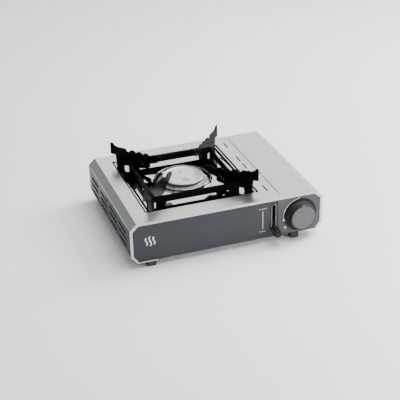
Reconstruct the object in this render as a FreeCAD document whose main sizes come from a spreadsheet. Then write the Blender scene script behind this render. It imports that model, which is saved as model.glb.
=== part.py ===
import FreeCAD, Part
import math
import os
import re

import Sketcher

# A compact cassette gas stove: a folded steel body with a burner well on the left, a cartridge bay
# under a hinged lid on the right, and the controls on the front panel.
#
# Frame: millimetres, +Z up, +X to the right, the controls at -Y. The origin lies on the surface
# that the feet stand on, under the middle of the stove's whole outline.

SIZES = [
    # Folded body
    ("body_width", 350, "outside width of the body"),
    ("body_depth", 275.5, "outside depth of the body"),
    ("body_height", 75.2, "height of the body without its feet"),
    ("sheet", 1.0, "gauge of the body sheet"),
    ("top_bevel_run", 12.1, "width of the bevel along each top edge"),
    ("top_bevel_drop", 11.5, "drop of that bevel"),
    ("low_bevel_run", 10.8, "width of the bevel along each bottom edge"),
    ("low_bevel_rise", 13.8, "rise of that bevel"),
    ("fold_radius", 1.8, "outside radius of the folds"),
    ("rim_width", 4.5, "width of the folded rim around each end panel"),
    ("rim_depth", 2.0, "depth of that rim, which the panel sits behind"),
    ("rim_break", 128, "left of the middle, where the front's bottom rim ends"),
    ("gap", 0.3, "clearance between neighbours that move or are slipped in"),
    # Feet
    ("foot_height", 9.5, "height of a foot"),
    ("foot_length", 20, "length of a foot, front to back"),
    ("foot_width", 15, "width of a foot"),
    ("foot_left", 139, "left feet, distance left of the middle"),
    ("foot_right", 123.5, "right feet, distance right of the middle"),
    ("foot_inset", 10.5, "feet, from the body's ends to their middles"),
    # Burner well and drip tray
    ("well_centre", 34.5, "distance of the burner left of the middle"),
    ("well_back", 2.5, "distance of the burner behind the body's middle"),
    ("well_width", 206, "width of the well opening"),
    ("well_depth", 214, "depth of the well opening"),
    ("ledge_drop", 4.1, "depth of the ledge that the tray rests on"),
    ("ledge_width", 5, "width of that ledge"),
    ("tray_sheet", 0.8, "gauge of the drip tray"),
    ("tray_gap", 0.8, "gap around the tray's rim"),
    ("tray_rim", 5, "width of the tray's rim"),
    ("tray_floor", 68.7, "height of the tray's underside above the body's bottom"),
    ("tray_hole", 50, "radius of the tray's burner hole"),
    ("tray_collar", 5.5, "height of the collar around that hole"),
    ("tray_lift", 60, "how far the tray lifts out"),
    # Burner
    ("cap_radius", 37.3, "radius of the burner cap"),
    ("cap_top", 78.5, "height of the cap above the body's bottom"),
    ("cap_thick", 4.2, "thickness of the cap at its edge"),
    ("port_height", 2.2, "height of the port ring"),
    ("skirt_radius", 46.5, "radius of the burner's cast skirt"),
    ("skirt_drop", 4.5, "drop of that skirt to its edge"),
    ("electrode_radius", 44.5, "distance of the spark electrode from the burner's axis"),
    ("mixer_height", 30, "height of the mixer tube's line"),
    ("mixer_radius", 9, "outside radius of the mixer tube"),
    # Pan support
    ("plate", 2.0, "thickness of the pan support's plates"),
    ("frame_half", 78.3, "half side of the square of bars"),
    ("bar_low", 74, "lower edge of the bars"),
    ("bar_high", 87, "upper edge of the bars"),
    ("bar_leg", 58, "inner edge of the bars' end legs from the burner"),
    ("horn_top", 117, "top of the horns"),
    ("horn_out", 147, "outer end of the horns along the diagonal"),
    # Lid and its hinge
    ("lid_edge", 98.5, "middle of the gap along the lid's hinged edge"),
    ("lid_gap", 1.2, "width of that gap"),
    ("lid_sheet", 0.7, "gauge of the lid"),
    ("lid_low", 40, "height of the lid's lower edge on the right side"),
    ("corner_notch", 107.5, "start of the lid's end strips past the hinge corners"),
    ("corner_depth", 11.5, "depth of those corners"),
    ("pin_radius", 1.2, "radius of the hinge and pivot pins"),
    ("running", 0.05, "radial clearance of a running fit"),
    # Controls
    ("axis_right", 133, "knob and cartridge axis, right of the middle"),
    ("axis_up", 35, "height of that axis above the body's bottom"),
    ("knob_radius", 27, "radius of the knob at its base"),
    ("knob_face", 21.3, "radius of the knob's face"),
    ("knob_reach", 14.5, "how far the face stands in front of the body"),
    ("shaft_radius", 3, "radius of the knob shaft"),
    ("bezel_radius", 30.8, "radius of the knob's bezel"),
    ("plate_left", 91.3, "left edge of the control plate"),
    ("plate_low", 1.5, "lower edge of the control plate above the body's bottom"),
    ("panel_sheet", 1.0, "gauge of the end panels"),
    ("control_sheet", 1.1, "gauge of the control plate"),
    ("slot_right", 83.5, "lever slot, right of the middle"),
    ("slot_low", 15, "lower end of the slot's bezel"),
    ("slot_high", 65, "upper end of the slot's bezel"),
    ("slot_width", 11, "width of the slot's bezel"),
    ("slot_rim", 1.6, "width of that bezel's rim at its ends"),
    ("bezel_sheet", 0.9, "how far the slot's bezel stands in front of the panel"),
    ("slot_gap", 4.6, "clear width of the slot"),
    ("lever_swing", 20.8, "how far the lever's line rises or falls over lever_back"),
    ("lever_back", 75, "lever pivot, distance behind the body's front"),
    ("lever_up", 40, "height of the lever pivot above the body's bottom"),
    ("lever_reach", 21.85, "how far the lever's line reaches in front of the body"),
    ("lever_thick", 3.4, "thickness of the lever's paddle"),
    ("lever_web", 3.2, "thickness of the lever inside the slot"),
    ("lever_height", 3.6, "height of the lever inside the slot"),
    ("paddle_width", 13, "width of the paddle"),
    ("paddle_drop", 2.2, "how far the paddle sits below the lever's line"),
    ("drive_arm", 12.9, "drive pin from the lever pivot"),
    # Gas side
    ("regulator_radius", 21, "radius of the regulator"),
    ("inlet_radius", 9, "radius of the cartridge inlet"),
    ("cartridge_radius", 34, "radius of the cartridge that the bay takes"),
    ("cartridge_length", 185, "length of that cartridge"),
    ("pipe_radius", 2.5, "radius of the gas pipe"),
    ("pipe_up", 16, "height of the gas pipe's line"),
    ("pipe_back", 18, "gas pipe's outlet behind the body's front"),
    ("lead_radius", 1.5, "radius of the ignition lead"),
]
NAMES = {name for name, number, note in SIZES}

# Places that follow from the sizes, as expressions of them.
LEVER_ANGLE = "atan(lever_swing / lever_back)"
LEVER_LENGTH = f"((lever_back + lever_reach) / cos({LEVER_ANGLE}))"
REACH = f"(lever_reach - (paddle_drop - lever_thick / 2) * sin({LEVER_ANGLE}))"
MIDDLE = f"({REACH} / 2)"
FRONT = f"({MIDDLE} - body_depth / 2)"
BACK = f"({MIDDLE} + body_depth / 2)"
FLOOR = "foot_height"
TOP = "(foot_height + body_height)"
RIGHT = "(body_width / 2)"
LEFT = "(-body_width / 2)"
BURNER_X = "(-well_centre)"
BURNER_Y = f"({MIDDLE} + well_back)"
WELL_LEFT = f"({BURNER_X} - well_width / 2)"
WELL_RIGHT = f"({BURNER_X} + well_width / 2)"
WELL_FRONT = f"({BURNER_Y} - well_depth / 2)"
WELL_BACK = f"({BURNER_Y} + well_depth / 2)"
LEDGE = f"({TOP} - ledge_drop)"
PANEL_FACE = f"({FRONT} + rim_depth)"
PANEL_BACK = f"({PANEL_FACE} + panel_sheet)"
CONTROL_FACE = f"({PANEL_FACE} - control_sheet)"
AXIS_Z = "(foot_height + axis_up)"
PIVOT_Y = f"({FRONT} + lever_back)"
PIVOT_Z = "(foot_height + lever_up)"
HINGE_X = "(lid_edge + lid_gap / 2 + 3.4)"
HINGE_Z = f"({TOP} - 3.6)"
SPARK_X = f"({BURNER_X} + electrode_radius * cos(45))"
SPARK_Y = f"({BURNER_Y} + electrode_radius * sin(45))"
HEAT_WALL = f"({WELL_RIGHT} + ledge_width)"
TRAY_FLOOR_TOP = "(foot_height + tray_floor + tray_sheet)"
CARTRIDGE_FRONT = f"({PANEL_BACK} + 40)"
PUSHER_Y = f"({CARTRIDGE_FRONT} + cartridge_length + 1)"
BEVEL_TRIM = "(0.586 * sheet)"
RIM_END = f"({RIGHT} - low_bevel_run - fold_radius)"
BAY_FLOOR = f"({FLOOR} + 2 * sheet)"
SLOT_MIDDLE = f"({FLOOR} + (slot_low + slot_high) / 2)"
SLOT_HALF = "((slot_high - slot_low) / 2 - slot_rim - slot_gap / 2)"
MIXER_ANGLE = -45
PIPE_CORNER = f"(({BURNER_Y} - {FRONT} - pipe_back) / sin(-({MIXER_ANGLE})))"
PADDLE_START = ("((lever_back - rim_depth + bezel_sheet + gap + (paddle_drop + lever_thick / 2)"
                f" * sin({LEVER_ANGLE})) / cos({LEVER_ANGLE}))")
PADDLE_LENGTH = f"({LEVER_LENGTH} - paddle_width / 2 - {PADDLE_START})"

doc = FreeCAD.newDocument("camping_stove")
sheet_object = doc.addObject("Spreadsheet::Sheet", "sizes")
parts = []


def fill_sheet():
    """Write every size into the spreadsheet under its own name."""
    for row, (name, number, note) in enumerate(SIZES, 1):
        sheet_object.set(f"A{row}", note)
        sheet_object.set(f"B{row}", str(number))
        sheet_object.setAlias(f"B{row}", name)
    doc.recompute()


def bound(text):
    """The same expression with every size named as a cell of the sheet."""
    return re.sub(r"[a-z_]+", lambda word: "sizes." + word[0] if word[0] in NAMES else word[0], str(text))


def size(text):
    """The present value of an expression of sizes."""
    result = sheet_object.evalExpression(bound(text))
    return float(getattr(result, "Value", result))


def keep(item, label):
    """Record an object as a sub-part, under the name its file gets."""
    item.Label = label
    parts.append(item)
    return item


def place(item, x="0", y="0", z="0", turn=None):
    """Put an object at a place made of sizes; turn is a fixed rotation."""
    if turn is not None:
        item.Placement = FreeCAD.Placement(FreeCAD.Vector(), turn)
    item.setExpression(".Placement.Base.x", bound(x))
    item.setExpression(".Placement.Base.y", bound(y))
    item.setExpression(".Placement.Base.z", bound(z))
    return item


# ---- Sketched bodies ----------------------------------------------------------------------------

# For each plane: how a sketch's offset follows from the place along the plane's own axis. The XZ
# plane's normal points to -Y.
NORMAL_SIGN = {"XY_Plane": 1, "XZ_Plane": -1, "YZ_Plane": 1}


def new_body(name):
    return doc.addObject("PartDesign::Body", name)


def new_sketch(body, plane, place_along, name):
    """A sketch parallel to one of the body's own origin planes."""
    sketch = body.newObject("Sketcher::SketchObject", name)
    origin_plane = next(item for item in body.Origin.OriginFeatures if item.Role == plane)
    sketch.AttachmentSupport = (origin_plane, [""])
    sketch.MapMode = "FlatFace"
    sign = NORMAL_SIGN[plane]
    sketch.setExpression(".AttachmentOffset.Base.z", bound(f"{sign} * ({place_along})"))
    return sketch


def fix_point(sketch, geometry, vertex, x, y):
    """Hold one point of a sketch at a place made of sizes."""
    for kind, text in (("DistanceX", x), ("DistanceY", y)):
        index = sketch.addConstraint(Sketcher.Constraint(kind, -1, 1, geometry, vertex, size(text)))
        sketch.setExpression(f"Constraints[{index}]", bound(text))


def draw_polygon(sketch, points):
    """A closed polygon whose corners are pairs of expressions."""
    corners = [FreeCAD.Vector(size(x), size(y), 0) for x, y in points]
    first = sketch.GeometryCount
    count = len(points)
    for index in range(count):
        sketch.addGeometry(Part.LineSegment(corners[index], corners[(index + 1) % count]), False)
    for index in range(count):
        following = first + (index + 1) % count
        sketch.addConstraint(Sketcher.Constraint("Coincident", first + index, 2, following, 1))
    for index, (x, y) in enumerate(points):
        fix_point(sketch, first + index, 1, x, y)


def draw_circle(sketch, x, y, radius):
    """A circle at a place and with a radius made of sizes."""
    centre = FreeCAD.Vector(size(x), size(y), 0)
    index = sketch.addGeometry(Part.Circle(centre, FreeCAD.Vector(0, 0, 1), size(radius)), False)
    fix_point(sketch, index, 3, x, y)
    radius_rule = sketch.addConstraint(Sketcher.Constraint("Radius", index, size(radius)))
    sketch.setExpression(f"Constraints[{radius_rule}]", bound(radius))


def draw(sketch, shapes):
    """Draw polygons (lists of corners) and circles (x, y, radius)."""
    for shape in shapes:
        if isinstance(shape, tuple):
            draw_circle(sketch, *shape)
        else:
            draw_polygon(sketch, shape)


def rectangle(left, right, low, high):
    return [(left, low), (right, low), (right, high), (left, high)]


def pad(body, plane, shapes, start, end):
    """Add a plate between two places along the plane's axis; inner outlines are holes."""
    name = f"{body.Name}_pad_{len(body.Group)}"
    base = end if plane == "XZ_Plane" else start
    sketch = new_sketch(body, plane, base, name + "_sketch")
    draw(sketch, shapes)
    feature = body.newObject("PartDesign::Pad", name)
    feature.Profile = sketch
    feature.setExpression("Length", bound(f"({end}) - ({start})"))
    return body


def pocket(body, plane, shapes, start, end):
    """Cut outlines away between two places along the plane's axis."""
    name = f"{body.Name}_pocket_{len(body.Group)}"
    base = start if plane == "XZ_Plane" else end
    sketch = new_sketch(body, plane, base, name + "_sketch")
    draw(sketch, shapes)
    feature = body.newObject("PartDesign::Pocket", name)
    feature.Profile = sketch
    feature.setExpression("Length", bound(f"({end}) - ({start})"))
    return body


def plate(name, plane, shapes, start, end):
    """A body of one pad."""
    return pad(new_body(name), plane, shapes, start, end)


def round_folds(body, corners, radius):
    """Round the folds that run from front to back through these corners of an outline."""
    doc.recompute()
    spots = [(size(x), size(z)) for x, z in corners]
    edges = []
    for number, edge in enumerate(body.Tip.Shape.Edges, 1):
        middle = edge.CenterOfMass
        along = abs(edge.tangentAt(edge.FirstParameter).y) > 0.999
        if along and any(math.dist((middle.x, middle.z), spot) < 0.01 for spot in spots):
            edges.append(f"Edge{number}")
    base = body.Tip
    fillet = body.newObject("PartDesign::Fillet", f"{body.Name}_folds_{len(body.Group)}")
    fillet.Base = (base, edges)
    fillet.setExpression("Radius", bound(radius))


def turned(name, profile, x, y, z, direction="up"):
    """A turned piece from a profile of (radius, distance along the axis) corners."""
    body = new_body(name)
    sketch = new_sketch(body, "XZ_Plane", "0", name + "_profile")
    draw_polygon(sketch, profile)
    feature = body.newObject("PartDesign::Revolution", name + "_turning")
    feature.Profile = sketch
    feature.ReferenceAxis = (sketch, ["V_Axis"])
    feature.Angle = 360
    angle = {"up": 0, "front": 90, "back": -90}[direction]
    turn = FreeCAD.Rotation(FreeCAD.Vector(1, 0, 0), angle)
    return place(body, x, y, z, turn)


# ---- Primitives and booleans --------------------------------------------------------------------

ALONG = {
    "x": FreeCAD.Rotation(FreeCAD.Vector(0, 1, 0), 90),
    "y": FreeCAD.Rotation(FreeCAD.Vector(1, 0, 0), -90),
    "z": FreeCAD.Rotation(),
}


def box(name, x_span, y_span, z_span):
    """A block between two expressions along each axis."""
    block = doc.addObject("Part::Box", name)
    for prop, (start, end) in zip(("Length", "Width", "Height"), (x_span, y_span, z_span)):
        block.setExpression(prop, bound(f"({end}) - ({start})"))
    return place(block, x_span[0], y_span[0], z_span[0])


def rod(name, axis, x, y, z, radius, length):
    """A cylinder that starts at a place and runs along an axis."""
    cylinder = doc.addObject("Part::Cylinder", name)
    cylinder.setExpression("Radius", bound(radius))
    cylinder.setExpression("Height", bound(length))
    return place(cylinder, x, y, z, ALONG[axis])


def fused(name, pieces):
    joined = doc.addObject("Part::MultiFuse", name)
    joined.Shapes = pieces
    return joined


def group(name, pieces):
    """Separate solids kept together as one sub-part."""
    together = doc.addObject("Part::Compound", name)
    together.Links = pieces
    return together


def cut(name, base, tools):
    """A base with one or more tools cut away."""
    result = doc.addObject("Part::Cut", name)
    result.Base = base
    result.Tool = tools[0] if len(tools) == 1 else group(name + "_tools", tools)
    return result


def obround(name, axis, centre, half_length, radius, span):
    """A round-ended slot: it runs along one axis and passes through along the span's axis.

    axis is the pair of letters (run, through), centre the place of the slot's middle in the plane
    across the through axis, and span its start and end along the through axis.
    """
    run, through = axis
    x, y, z = centre
    start, end = span
    ends = []
    for side in ("-", "+"):
        spot = {"x": x, "y": y, "z": z}
        spot[run] = f"({spot[run]}) {side} ({half_length})"
        spot[through] = start
        label = f"{name}_{'low' if side == '-' else 'high'}"
        ends.append(rod(label, through, spot["x"], spot["y"], spot["z"], radius, f"({end}) - ({start})"))
    spans = {}
    for letter, middle in zip("xyz", (x, y, z)):
        half = half_length if letter == run else radius
        spans[letter] = (f"({middle}) - ({half})", f"({middle}) + ({half})")
    spans[through] = (start, end)
    ends.append(box(name + "_middle", spans["x"], spans["y"], spans["z"]))
    return fused(name, ends)


def tube_route(points, share=0.45):
    """Straight runs joined by tangent arcs, each as large as its two runs allow."""
    corners = [FreeCAD.Vector(*[size(part) for part in point]) for point in points]
    edges = []
    radii = []
    start = corners[0]
    for before, corner, after in zip(corners, corners[1:], corners[2:]):
        into = (corner - before).normalize()
        away = (after - corner).normalize()
        trim = share * min(before.distanceToPoint(corner), corner.distanceToPoint(after))
        first = corner - into * trim
        last = corner + away * trim
        half = into.getAngle(away) / 2
        radius = trim / math.tan(half)
        radii.append(round(radius, 1))
        inward = (away - into).normalize()
        centre = corner + inward * (radius / math.cos(half))
        middle = centre - inward * radius
        edges.append(Part.LineSegment(start, first).toShape())
        edges.append(Part.Arc(first, middle, last).toShape())
        start = last
    edges.append(Part.LineSegment(start, corners[-1]).toShape())
    print("bend radii", radii)
    return Part.Wire(edges)


def tube(name, points, radius):
    """A round tube along a route in space."""
    route = tube_route(points)
    first = route.Edges[0]
    begin = first.valueAt(first.FirstParameter)
    heading = first.tangentAt(first.FirstParameter)
    circle = Part.Wire(Part.Circle(begin, heading, size(radius)).toShape())
    shape = route.makePipeShell([circle], True, True)
    feature = doc.addObject("Part::Feature", name)
    feature.Shape = shape if shape.ShapeType == "Solid" else Part.Solid(shape.Solids[0])
    feature.Placement = FreeCAD.Placement()
    ideal = math.pi * size(radius) ** 2 * route.Length
    print(f"{name}: route {route.Length:.1f} mm, volume {feature.Shape.Volume / ideal:.4f} of ideal")
    return feature


# ---- Folded body --------------------------------------------------------------------------------

def octagon(half, low, high, top_run, top_drop, low_run, low_rise, x="0"):
    """The body's outline across its width: a box with its four long edges bevelled."""
    return [
        (f"({x}) - ({half}) + ({low_run})", low),
        (f"({x}) + ({half}) - ({low_run})", low),
        (f"({x}) + ({half})", f"({low}) + ({low_rise})"),
        (f"({x}) + ({half})", f"({high}) - ({top_drop})"),
        (f"({x}) + ({half}) - ({top_run})", high),
        (f"({x}) - ({half}) + ({top_run})", high),
        (f"({x}) - ({half})", f"({high}) - ({top_drop})"),
        (f"({x}) - ({half})", f"({low}) + ({low_rise})"),
    ]


def body_outline(inset, trim="0"):
    """The body's outline, moved inwards; trim shortens the bevels to keep the wall even."""
    bevels = ("top_bevel_run", "top_bevel_drop", "low_bevel_run", "low_bevel_rise")
    return octagon(
        f"{RIGHT} - ({inset})", f"{FLOOR} + ({inset})", f"{TOP} - ({inset})",
        *[f"{bevel} - ({trim})" for bevel in bevels],
    )


def panel_outline(inset):
    """The opening of an end rim, moved inwards."""
    bevels = ("top_bevel_run", "top_bevel_drop", "low_bevel_run", "low_bevel_rise")
    return octagon(
        f"{RIGHT} - rim_width - ({inset})", f"{FLOOR} + rim_width / 2 + ({inset})",
        f"{TOP} - rim_width - ({inset})", *[f"{bevel} - rim_width / 3" for bevel in bevels],
    )


def well_opening(grow):
    """The rectangle of the well, made larger all round."""
    return rectangle(
        f"{WELL_LEFT} - ({grow})", f"{WELL_RIGHT} + ({grow})",
        f"{WELL_FRONT} - ({grow})", f"{WELL_BACK} + ({grow})",
    )


def vent_slots():
    """The row of slots between the well and the lid: long ones with a round hole between pairs."""
    slots = []
    middle = f"({MIDDLE} + 2.2)"
    span = (f"{TOP} - sheet - 1", f"{TOP} + 1")
    for number, (offset, half) in enumerate(((0, 11), (31.8, 10.8), (-31.8, 10.8), (97, 10.8), (-97, 10.8))):
        centre = ("84", f"{middle} + {offset}", "0")
        slots.append(obround(f"vent_slot_{number}", "yz", centre, str(half), "1.4", span))
    for number, offset in enumerate((64.4, -64.4)):
        slots.append(rod(f"vent_hole_{number}", "z", "84", f"{middle} + {offset}", span[0], "1.4", "sheet + 2"))
    return slots


def side_louvres():
    """Three rows of four slots in the left wall."""
    slots = []
    span = (f"{LEFT} - 1", f"{LEFT} + sheet + 1")
    for row, height in enumerate((48.5, 36.5, 22.5)):
        for column in range(4):
            centre = ("0", f"{MIDDLE} + {95 - 61 * column}", f"{FLOOR} + {height}")
            slots.append(obround(f"louvre_{row}_{column}", "yx", centre, "20.5", "1.7", span))
    return slots


def make_body_shell():
    """The folded wrap: skin, end rims, the well's turned-down edge and the tray's ledge."""
    skin = [body_outline("0"), body_outline("sheet", BEVEL_TRIM)]
    body = plate("shell_blank", "XZ_Plane", skin, FRONT, BACK)
    round_folds(body, skin[0], "fold_radius")
    round_folds(body, skin[1], "fold_radius - sheet")
    floor_hole = rectangle(f"{LEFT} + 28", f"{RIGHT} - 28", f"{FRONT} + 24", f"{BACK} - 24")
    pocket(body, "XY_Plane", [floor_hole], f"{FLOOR} - 1", f"{FLOOR} + sheet + 1")
    # The skin stops along the lid's hinged edge and below its side.
    start = "(lid_edge - lid_gap / 2)"
    beyond = f"{RIGHT} + 5"
    middle = rectangle(start, beyond, f"{FRONT} + corner_depth", f"{BACK} - corner_depth")
    pocket(body, "XY_Plane", [middle], f"{FLOOR} + lid_low", f"{TOP} + 1")
    ends = "(corner_notch - gap)"
    front_end = rectangle(ends, beyond, f"{FRONT} - 1", f"{FRONT} + corner_depth")
    back_end = rectangle(ends, beyond, f"{BACK} - corner_depth", f"{BACK} + 1")
    pocket(body, "XY_Plane", [front_end], f"{FLOOR} + lid_low", f"{TOP} + 1")
    pocket(body, "XY_Plane", [back_end], f"{FLOOR} + lid_low", f"{TOP} + 1")
    rims = [body_outline("sheet", BEVEL_TRIM), panel_outline("0")]
    pad(body, "XZ_Plane", rims, FRONT, f"{FRONT} + rim_depth")
    pad(body, "XZ_Plane", rims, f"{BACK} - rim_depth", BACK)
    # The front panel's lower edge stands in this break of the bottom rim.
    rim_break = rectangle("-rim_break", RIM_END, f"{FLOOR} - 1", f"{FLOOR} + rim_width / 2")
    pocket(body, "XZ_Plane", [rim_break], f"{FRONT} - 1", f"{PANEL_BACK} + gap")
    # The well's edge is turned down and ends in the ledge.
    pocket(body, "XY_Plane", [well_opening("0")], f"{TOP} - sheet - 1", f"{TOP} + 1")
    pad(body, "XY_Plane", [well_opening("sheet"), well_opening("0")], f"{LEDGE} - sheet", TOP)
    pad(body, "XY_Plane", [well_opening("sheet"), well_opening("-ledge_width")], f"{LEDGE} - sheet", LEDGE)
    return keep(cut("shell_cut", body, vent_slots() + side_louvres()), "body_shell")


def make_base_pan():
    """The floor plate, screwed over the opening under the body, with cooling slots."""
    edge = rectangle(f"{LEFT} + 20", f"{RIGHT} - 20", f"{FRONT} + 16", f"{BACK} - 16")
    slots = []
    for column in range(5):
        centre = f"({BURNER_X} + {36 * (column - 2)})"
        slots.append(rectangle(f"{centre} - 2", f"{centre} + 2", f"{BURNER_Y} + 70", f"{BURNER_Y} + 110"))
    bottom = f"{FLOOR} + sheet"
    pan = plate("pan_blank", "XY_Plane", [edge] + slots, bottom, f"{bottom} + sheet")
    holes = [rod(f"pan_hole_{number}", "z", x, y, FLOOR, "1.7", "4 * sheet")
             for number, (x, y) in enumerate(base_screw_places())]
    return keep(cut("pan_cut", pan, holes), "base_pan")


def base_screw_places():
    """The four screws that hold the base pan to the body's bottom flange."""
    return [(f"{side} * ({RIGHT} - 24)", f"{end} + {inset}")
            for side in (-1, 1) for end, inset in ((FRONT, 45), (BACK, -45))]


def make_panels():
    """Front and rear panels behind the rims, and the control plate in front of the first."""
    outline = body_outline("sheet + gap", BEVEL_TRIM)
    lip_top = f"{FLOOR} + sheet + gap"
    lip = [
        ("-rim_break + gap", lip_top), ("-rim_break + gap", f"{FLOOR} + gap"),
        (f"{RIM_END} - gap", f"{FLOOR} + gap"), (f"{RIM_END} - gap", lip_top),
    ]
    lever_slot = obround("slot_through", "zy", ("slot_right", "0", SLOT_MIDDLE), SLOT_HALF,
                         "slot_gap / 2", (f"{FRONT} - 5", f"{PANEL_BACK} + 5"))
    shaft_hole = rod("shaft_through", "y", "axis_right", f"{FRONT} - 5", AXIS_Z, "shaft_radius + 1", "rim_depth + 12")
    front_outline = outline[:1] + lip + outline[1:]
    front = plate("front_blank", "XZ_Plane", [front_outline], PANEL_FACE, PANEL_BACK)
    keep(cut("front_cut", front, [lever_slot, shaft_hole]), "front_panel")

    rear_face = f"({BACK} - rim_depth)"
    rear = plate("rear_blank", "XZ_Plane", [outline], f"{rear_face} - panel_sheet", rear_face)
    vents = []
    for row in range(3):
        for column in range(5):
            centre = (f"{BURNER_X} + {40 * (column - 2)}", "0", f"{FLOOR} + {24 + 13 * row}")
            span = (f"{rear_face} - 5", f"{rear_face} + 1")
            vents.append(obround(f"rear_vent_{row}_{column}", "xy", centre, "13", "1.7", span))
    keep(cut("rear_cut", rear, vents), "rear_panel")

    half = f"{RIGHT} - rim_width - gap / 2"
    high = f"{TOP} - rim_width - gap / 2"
    rim_low = f"{FLOOR} + rim_width / 2 + gap / 2"
    corner = [
        ("plate_left", high),
        ("plate_left", f"{FLOOR} + plate_low + 18.5"),
        ("plate_left + 9.5", f"{FLOOR} + plate_low"),
        (f"{half} - low_bevel_run + rim_width / 3", f"{FLOOR} + plate_low"),
        (f"{half} - low_bevel_run + rim_width / 3", rim_low),
        (half, f"{rim_low} + low_bevel_rise - rim_width / 3"),
        (half, f"{high} - top_bevel_drop + rim_width / 3"),
        (f"{half} - top_bevel_run + rim_width / 3", high),
    ]
    opening = ("axis_right", AXIS_Z, "bezel_radius + gap / 2")
    keep(plate("control_blank", "XZ_Plane", [corner, opening], CONTROL_FACE, PANEL_FACE), "control_plate")

    ring = [("axis_right", AXIS_Z, "bezel_radius"), ("axis_right", AXIS_Z, "shaft_radius + 1")]
    keep(plate("ring_blank", "XZ_Plane", ring, f"{CONTROL_FACE} + gap", PANEL_FACE), "knob_bezel")

    face = (f"{PANEL_FACE} - bezel_sheet", PANEL_FACE)
    outer = obround("slot_outer", "zy", ("slot_right", "0", SLOT_MIDDLE),
                    "(slot_high - slot_low - slot_width) / 2", "slot_width / 2", face)
    inner = obround("slot_inner", "zy", ("slot_right", "0", SLOT_MIDDLE), SLOT_HALF, "slot_gap / 2",
                    (f"{FRONT} - 5", f"{PANEL_BACK} + 5"))
    keep(cut("slot_ring", outer, [inner]), "lever_bezel")


def make_feet():
    """Four moulded feet, narrower at the ground."""
    for name, x, y in (
        ("foot_front_left", "-foot_left", f"{FRONT} + foot_inset"),
        ("foot_front_right", "foot_right", f"{FRONT} + foot_inset"),
        ("foot_rear_left", "-foot_left", f"{BACK} - foot_inset"),
        ("foot_rear_right", "foot_right", f"{BACK} - foot_inset"),
    ):
        half = "foot_width / 2"
        profile = [
            (f"{x} - {half} + 1", "0"),
            (f"{x} + {half} - 1", "0"),
            (f"{x} + {half}", "1.5"),
            (f"{x} + {half}", "foot_height"),
            (f"{x} - {half}", "foot_height"),
            (f"{x} - {half}", "1.5"),
        ]
        keep(plate(name + "_body", "XZ_Plane", [profile], f"{y} - foot_length / 2", f"{y} + foot_length / 2"), name)


# ---- Drip tray and pan support ------------------------------------------------------------------

def make_drip_tray():
    """A shallow square pan with a rim on the ledge and a collar around the burner."""
    rim = f"({LEDGE} + tray_sheet)"
    basin = "-(tray_gap + tray_rim)"
    wall = "-(tray_gap + tray_rim + tray_sheet)"
    under = f"({FLOOR} + tray_floor)"
    hole = (BURNER_X, BURNER_Y, "tray_hole")
    collar = (BURNER_X, BURNER_Y, "tray_hole + tray_sheet")
    tray = plate("tray", "XY_Plane", [well_opening("-tray_gap"), well_opening(wall)], LEDGE, rim)
    pad(tray, "XY_Plane", [well_opening(basin), well_opening(wall)], under, rim)
    pad(tray, "XY_Plane", [well_opening(basin), hole], under, TRAY_FLOOR_TOP)
    pad(tray, "XY_Plane", [collar, hole], under, f"{under} + tray_collar")
    return keep(tray, "drip_tray")


def arm_profile():
    """One arm, by distance along the diagonal from the burner and height above the body."""
    corner = "frame_half * 1.4142"
    steps = [
        ("42.5", "103"), ("46", "107"), ("59", "107"), ("63", "104.5"), ("67", "104"), ("71", "107"),
        ("76", "107.5"), ("80", "104.3"), ("84", "107.5"), ("90", "108"), ("94", "104.4"), ("98", "108.5"),
        ("104", "109"), ("109", "104.5"), (f"{corner} + 1.5", "104.5"), (f"{corner} + 5.3", "110"),
        ("131", "110"), ("138", "112"), ("142", "horn_top"), ("horn_out", "horn_top"), ("horn_out", "95"),
        ("137", "94"), (f"{corner} + 23.7", "tray_floor + tray_sheet"), (f"{corner} + 9.3", "tray_floor + tray_sheet"),
        (f"{corner} + 8.3", "bar_low + 2"), ("84", "bar_low + 2"), ("70", "79"), ("66", "82"), ("66.5", "88"),
        ("52", "92.5"), ("42.5", "101"),
    ]
    return [(distance, f"{FLOOR} + {height}") for distance, height in steps]


def arm_window():
    """The three-cornered window in each arm."""
    return [(distance, f"{FLOOR} + {height}") for distance, height in (("71.5", "92.5"), ("82", "83"), ("82", "91.5"))]


def make_pan_support():
    """Four bars on edge in a square, and four toothed arms along its diagonals."""
    arms = []
    for number, name in enumerate(("back_right", "back_left", "front_left", "front_right")):
        arm = plate(f"arm_{name}", "XZ_Plane", [arm_profile(), arm_window()], "-plate / 2", "plate / 2")
        turn = FreeCAD.Rotation(FreeCAD.Vector(0, 0, 1), 45 + 90 * number)
        place(arm, BURNER_X, BURNER_Y, "0", turn)
        arms.append(keep(arm, f"pan_arm_{name}"))
    reach = "(frame_half + plate * 0.1)"
    leg_end = "(frame_half - plate * 1.5)"
    for number, name in enumerate(("front", "right", "back", "left")):
        outline = [
            (f"-{reach}", f"{FLOOR} + bar_high"),
            (f"-{reach}", f"{FLOOR} + bar_low + 2"),
            (f"-{leg_end}", f"{FLOOR} + bar_low + 2"),
            (f"-{leg_end}", TRAY_FLOOR_TOP),
            ("-bar_leg", TRAY_FLOOR_TOP),
            ("-bar_leg", f"{FLOOR} + bar_low"),
            ("bar_leg", f"{FLOOR} + bar_low"),
            ("bar_leg", TRAY_FLOOR_TOP),
            (leg_end, TRAY_FLOOR_TOP),
            (leg_end, f"{FLOOR} + bar_low + 2"),
            (reach, f"{FLOOR} + bar_low + 2"),
            (reach, f"{FLOOR} + bar_high"),
        ]
        bar = plate(f"bar_{name}", "XZ_Plane", [outline], "-frame_half - plate / 2", "-frame_half + plate / 2")
        turn = FreeCAD.Rotation(FreeCAD.Vector(0, 0, 1), 90 * number)
        place(bar, BURNER_X, BURNER_Y, "0", turn)
        keep(cut(f"bar_{name}_cut", bar, arms), f"pan_bar_{name}")


# ---- Burner and its gas supply ------------------------------------------------------------------

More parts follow.
